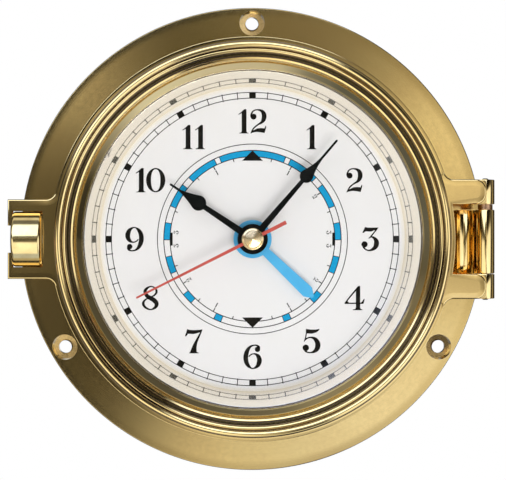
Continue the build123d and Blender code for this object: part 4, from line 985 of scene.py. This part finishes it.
tide_edge = np.array([(4.8, 1.35), (23.8, 1.95), (24.1, 1.9), (26.4, 0.4)])
second_edge = np.array([(-11.7, 0.6), (40.7, 0.3)])
hour_taper = (21.5, 2.16), (24.0, 1.22), (27.2, 0.4)
hour_edge = bulb_edge((3.0, 1.1), 0.82, 20.4, 2.42, hour_taper, 31.2)
minute_taper = (26.85, 1.88), (29.4, 1.0), (33.6, 0.38)
minute_edge = bulb_edge((3.5, 1.05), 0.66, 25.9, 2.1, minute_taper, 40.8)
black_shades = (0.0015, 0.002, 0.001), (0.003, 0.003, 0.002)
paints = {
    "tide_blue": lacquer("blue_paint", (0.07, 0.43, 0.76), (0.08, 0.46, 0.79)),
    "hand_black": lacquer("black_paint", *black_shades, roughness=0.45, gloss=0.08),
    "second_red": lacquer("red_paint", (0.5, 0.07, 0.05), (0.56, 0.08, 0.055)),
}
for kind, paint, height, angle, hub, bore, edge in (
    ("tide", "tide_blue", 22.4, 133.8, 6.0, 3.1, tide_edge),
    ("hour", "hand_black", 23.9, 303.7, 4.2, 2.3, hour_edge),
    ("minute", "hand_black", 25.4, 40.5, 4.75, 1.4, minute_edge),
    ("second", "second_red", 26.8, 243.2, 1.8, 0.53, second_edge),
):
    made = hand(kind + "_blade", paints[paint], height, angle, hub, bore, edge)
    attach(made, kind + "_body")
    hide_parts(kind + "_hand")
cap_bore, cap_foot = 0.525, 27.2
cap_outline = np.concatenate(
    [
        [(cap_bore, cap_foot), (3.3, cap_foot), (3.4, 27.3)],
        arc((3.4, 28.1), (3.3, 28.32), (3.1, 28.4), 6),
        [(2.72, 28.62), (2.66, 28.8), (2.58, 28.86), (0.9, 29.08), (0.02, 29.17)],
        [(0.02, 28.35), (cap_bore, 28.35)],
    ]
)
cap_brass = turned_brass("cap_brass", (0.9, 0.66, 0.33), (0.82, 0.57, 0.26), 0.12, 0.12, 0.008)
cap = piece("turned_cap", turned(cap_outline, 180), material=cap_brass)
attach(cap, "second_body")
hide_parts("hub_cap")


# Bush, nut and washers that clamp the movement to the dial: the bush is turned and threaded
# brass, and a moulded rubber washer lies behind the dial.
bush_brass = turned_brass("bush_brass", (0.8, 0.6, 0.3), (0.68, 0.48, 0.22), 0.22, 0.1, 0.002)
dress(bush_brass, "shaft_bush", "bush_nut", "bush_washer")
dress(rubber("washer_rubber", (0.015, 0.015, 0.016)), "dial_washer")


# Movement: two moulded trays screwed together, with the cell in an open bay at the back.
# Inside are moulded and brass wheels on a middle plate, the coil and the circuit board.
def plastic(name, colour, shade, roughness, grain_size, depth):
    """Moulded plastic: spark-eroded grain and slight flow marks."""
    material, shader, start = surface(name, Specular_IOR_Level=0.4)
    spot = own_place(start)
    flow = noise(spot, 60.0, 3.0)
    grain = start.node("TexVoronoi", sockets={"Vector": spot, "Scale": 1 / (grain_size * MM)})
    feed(
        shader,
        Base_Color=flow.between(0.3, 0.7).tint(colour, shade),
        Roughness=roughness + 0.15 * grain,
        Normal=relief(grain, depth * MM),
    )
    return material


wheels = ["intermediate_wheel", "third_wheel", "motion_wheel"]
wheels += ["tide_idler", "tide_wheel", "hour_wheel"]
shells = ["movement_front_shell", "movement_back_shell"]
for dressed, *look in (
    (shells, "shell_plastic", (0.02, 0.02, 0.022), (0.028, 0.028, 0.03), 0.45, 0.45, 0.02),
    (["setting_knob"], "knob_plastic", (0.32, 0.31, 0.29), (0.4, 0.39, 0.37), 0.35, 0.5, 0.01),
    (["train_plate"], "plate_plastic", (0.55, 0.53, 0.48), (0.62, 0.6, 0.55), 0.4, 0.5, 0.01),
    (wheels, "gear_white", (0.72, 0.7, 0.64), (0.8, 0.78, 0.72), 0.3, 0.4, 0.005),
    (["coil_bobbin"], "bobbin_plastic", (0.5, 0.16, 0.05), (0.58, 0.2, 0.07), 0.35, 0.4, 0.006),
    (["circuit_board"], "board_green", (0.01, 0.12, 0.05), (0.015, 0.16, 0.07), 0.35, 0.6, 0.01),
):
    dress(plastic(*look), *dressed)
screws = ["movement_screws", "stator_screws"]
for dressed, *look in (
    (["rotor"], "magnet_dark", (0.1, 0.1, 0.105), (0.16, 0.16, 0.165), 0.4, Y_AXIS),
    (["stator", "coil_core"], "stator_steel", (0.5, 0.5, 0.5), (0.4, 0.4, 0.41), 0.3, X_AXIS),
    (screws, "shell_screw_steel", (0.62, 0.61, 0.59), (0.46, 0.45, 0.44), 0.22, Y_AXIS),
    (["quartz_crystal"], "crystal_can", (0.7, 0.7, 0.71), (0.58, 0.58, 0.6), 0.15, X_AXIS),
    (["battery_contacts"], "contact_spring", (0.72, 0.7, 0.64), (0.58, 0.56, 0.5), 0.2, Z_AXIS),
    (["coil_winding"], "winding_copper", (0.72, 0.3, 0.13), (0.55, 0.2, 0.08), 0.25, X_AXIS),
):
    dress(rod_metal(*look), *dressed)
gear_brass = turned_brass("gear_brass", (0.82, 0.61, 0.3), (0.7, 0.5, 0.23), 0.2, 0.1, 0.001)
dress(gear_brass, "second_wheel", "centre_wheel", "minute_tube")

cell_jacket, cell_shader, cell_start = surface("cell_jacket")
cell_spot = own_place(cell_start)
cell_x = parts(cell_spot)[0]
bare_end = cell_x.between(0.0232, 0.0234) + (1 - cell_x.between(-0.0248, -0.0246))
band = cell_x.between(0.0120, 0.0122)
scuffs = noise(cell_spot, 700.0, 5.0)
feed(
    cell_shader,
    Base_Color=bare_end.tint(band.tint((0.02, 0.05, 0.14), (0.55, 0.56, 0.58)), (0.66, 0.65, 0.62)),
    Metallic=0.35 + 0.65 * bare_end,
    Roughness=0.24 + 0.12 * scuffs,
    Normal=relief(scuffs, 0.00001),
)
dress(cell_jacket, "battery")


# Camera, light and floor: one large soft lamp low at the right and a pale floor. The world
# is plain for diffuse light, white to the camera, and a studio in bands for reflections.
eye, target = np.array([-0.006, -0.62, 0.001]), np.array([0.00032, -0.005, -0.00032])
focal_pixels, width_pixels, sensor = 1898, 506, 36
camera = placed("camera", bpy.data.cameras.new("camera"))
camera.location = eye
aim = target - np.array(camera.location)
tilt = math.atan2(math.hypot(aim[0], aim[1]), -aim[2])
camera.rotation_euler = (tilt, 0, math.atan2(-aim[0], aim[1]))
camera.data.lens = focal_pixels / width_pixels * sensor
camera.data.sensor_width = sensor
camera.data.clip_start, camera.data.clip_end = 0.01, 50
bpy.context.scene.camera = camera
bpy.context.scene.view_settings.view_transform = "Standard"

lamp_x, lamp_y, lamp_z, lamp_lift = 0.16, -0.8, -0.36, 24
lamp = placed("soft_lamp", bpy.data.lights.new("soft_lamp", "AREA"))
lamp.data.shape, lamp.data.size, lamp.data.energy = "DISK", 0.55, 5.2
lamp.location = (lamp_x, lamp_y, lamp_z)
lamp.rotation_euler = (math.radians(90 + lamp_lift), 0, math.atan2(lamp_x, -lamp_y))
lamp.visible_glossy = False

floor_half, floor_z = 4, -0.45
floor_white, floor_shader, floor_start = surface(
    "floor_white", Base_Color=(0.86, 0.86, 0.86, 1), Roughness=0.7
)
floor_mesh = bpy.data.meshes.new("floor")
floor_mesh.from_pydata(
    [(x * floor_half, y * floor_half, floor_z) for x, y in ((-1, -1), (1, -1), (1, 1), (-1, 1))],
    [],
    [(0, 1, 2, 3)],
)
floor = placed("floor", floor_mesh)
floor_mesh.materials.append(floor_white)
floor.visible_glossy = False
floor_x, floor_y, _ = parts(floor_start.node("TexCoord", output=3))
floor_far = (floor_x * floor_x + floor_y * floor_y).maths("SQRT").between(0.7, 1.6)
floor_glow = floor_start.node("Emission", sockets={"Strength": 1.0})
seen = ray(floor_start, "Camera").maths("MAXIMUM", ray(floor_start, "Transmission"))
seen_instead(floor_start, floor_shader, floor_glow, seen * floor_far)

world = bpy.data.worlds.new("studio")
bpy.context.scene.world = world
world.use_nodes = True
sky = Signal(world.node_tree)
x, y, z = parts(sky.node("TexCoord", output="Generated"))
off_axis = (y * -1).maths("ARCCOSINE") * (180 / math.pi)
round_axis = (z.maths("ARCTAN2", x) / TURN).maths("FRACT")


def tones(stops):
    """Light round the axis: stops of degrees anticlockwise from the right, level, and how
    blue it is."""
    named = [
        (degrees / 360, (level, level * (1 + 0.27 * blue), level * (1 + 1.2 * blue)))
        for degrees, level, blue in stops
    ]
    return round_axis.node("ValToRGB", {"stops": named}, {0: round_axis})


def grey(level):
    """Light without colour."""
    return level, level, level


face_tones = tones([
    (0, 0.55, 0.2), (8, 0.75, 0.1), (18, 1.05, 0.1), (33, 0.95, 0.1), (42, 0.5, 0.1),
    (52, 0.27, 0.1), (75, 0.22, 0), (90, 0.2, 0), (97, 0.1, 0), (112, 0.1, 0), (124, 0.25, 0.1),
    (132, 0.6, 0.1), (140, 0.65, 0.1), (148, 0.3, 0.1), (160, 0.14, 0.1), (175, 0.11, 0),
    (190, 0.14, 0), (198, 0.08, 0), (228, 0.06, 0), (242, 0.15, 0.1), (252, 0.55, 0.2),
    (260, 0.85, 0.2), (280, 0.85, 0.3), (290, 0.9, 0.5), (312, 1.15, 0.5), (330, 1.0, 0.4),
    (343, 0.95, 0.2), (350, 0.5, 0.1)
])
dome_tones = tones([
    (0, 0.3, 0), (18, 0.75, 0.1), (35, 0.55, 0), (50, 0.3, 0), (70, 0.2, 0), (84, 0.1, 0),
    (96, 0.01, 0), (155, 0.01, 0), (170, 0.07, 0), (190, 0.07, 0), (200, 0.02, 0), (232, 0.04, 0),
    (248, 0.3, 0.1), (262, 0.6, 0.2), (300, 0.6, 0.4), (320, 0.75, 0.3), (342, 0.8, 0.1),
    (352, 0.25, 0)
])
bead_tones = tones([
    (0, 1.3, 0.5), (10, 1.2, 0.5), (16, 0.15, 0), (24, 0.01, 0), (61, 0.01, 0), (66, 1.9, 0.9),
    (154, 1.9, 0.9), (158, 0.4, 0.3), (163, 0.08, 0), (175, 0.1, 0), (181, 1.3, 0.35),
    (258, 1.45, 0.35), (270, 1.0, 0.2), (279, 0.4, 0), (284, 0.04, 0), (293, 0.04, 0),
    (297, 1.2, 0.4), (325, 1.5, 0.7), (345, 1.35, 0.5)
])
low_tones = tones([
    (0, 0.08, 0.5), (60, 0.1, 0.6), (85, 0.14, 0.6), (100, 0.18, 0.6), (110, 0.28, 0.5),
    (130, 0.3, 0.5), (140, 0.2, 0.5), (162, 0.2, 0.5), (170, 0.12, 0.5), (185, 0.14, 0.9),
    (200, 0.11, 1.1), (240, 0.12, 1.1), (252, 0.24, 0.9), (262, 0.6, 0.8), (310, 0.75, 0.9),
    (322, 0.4, 0.8), (333, 0.18, 0.6), (341, 0.05, 0.4), (352, 0.04, 0.4)
])
back_tones = tones([
    (0, 0.7, 0.1), (40, 0.6, 0), (60, 0.25, 0), (95, 0.06, 0), (150, 0.06, 0), (170, 0.2, 0),
    (200, 0.08, 0), (235, 0.15, 0), (262, 0.6, 0), (300, 0.7, 0.1), (345, 0.6, 0)
])
side_tones = tones([
    (0, 0.3, 0.1), (40, 0.5, 0.2), (75, 0.85, 0.3), (105, 0.85, 0.3), (140, 0.35, 0.1),
    (180, 0.2, 0.1), (215, 0.25, 0), (250, 0.5, 0), (290, 0.6, 0), (330, 0.4, 0)
])
studio = grey(0.02)
for start, end, light in (
    (4.6, 5.3, face_tones),
    (8, 10, dome_tones),
    (13, 17, bead_tones),
    (60, 66, low_tones),
    (85, 88, side_tones),
    (98, 104, grey(0.05)),
    (148, 162, back_tones),
):
    studio = off_axis.between(start, end).tint(studio, light)
plain, white = grey(0.74), grey(1.0)
bent = ray(sky, "Transmission")
seen_white = ray(sky, "Camera").maths("MAXIMUM", bent * off_axis.between(88, 92))
reflected = ray(sky, "Glossy").maths("MAXIMUM", bent)
shown = seen_white.tint(reflected.tint(plain, studio), white)
world.node_tree.links.new(shown.socket, world.node_tree.nodes["Background"].inputs["Color"])
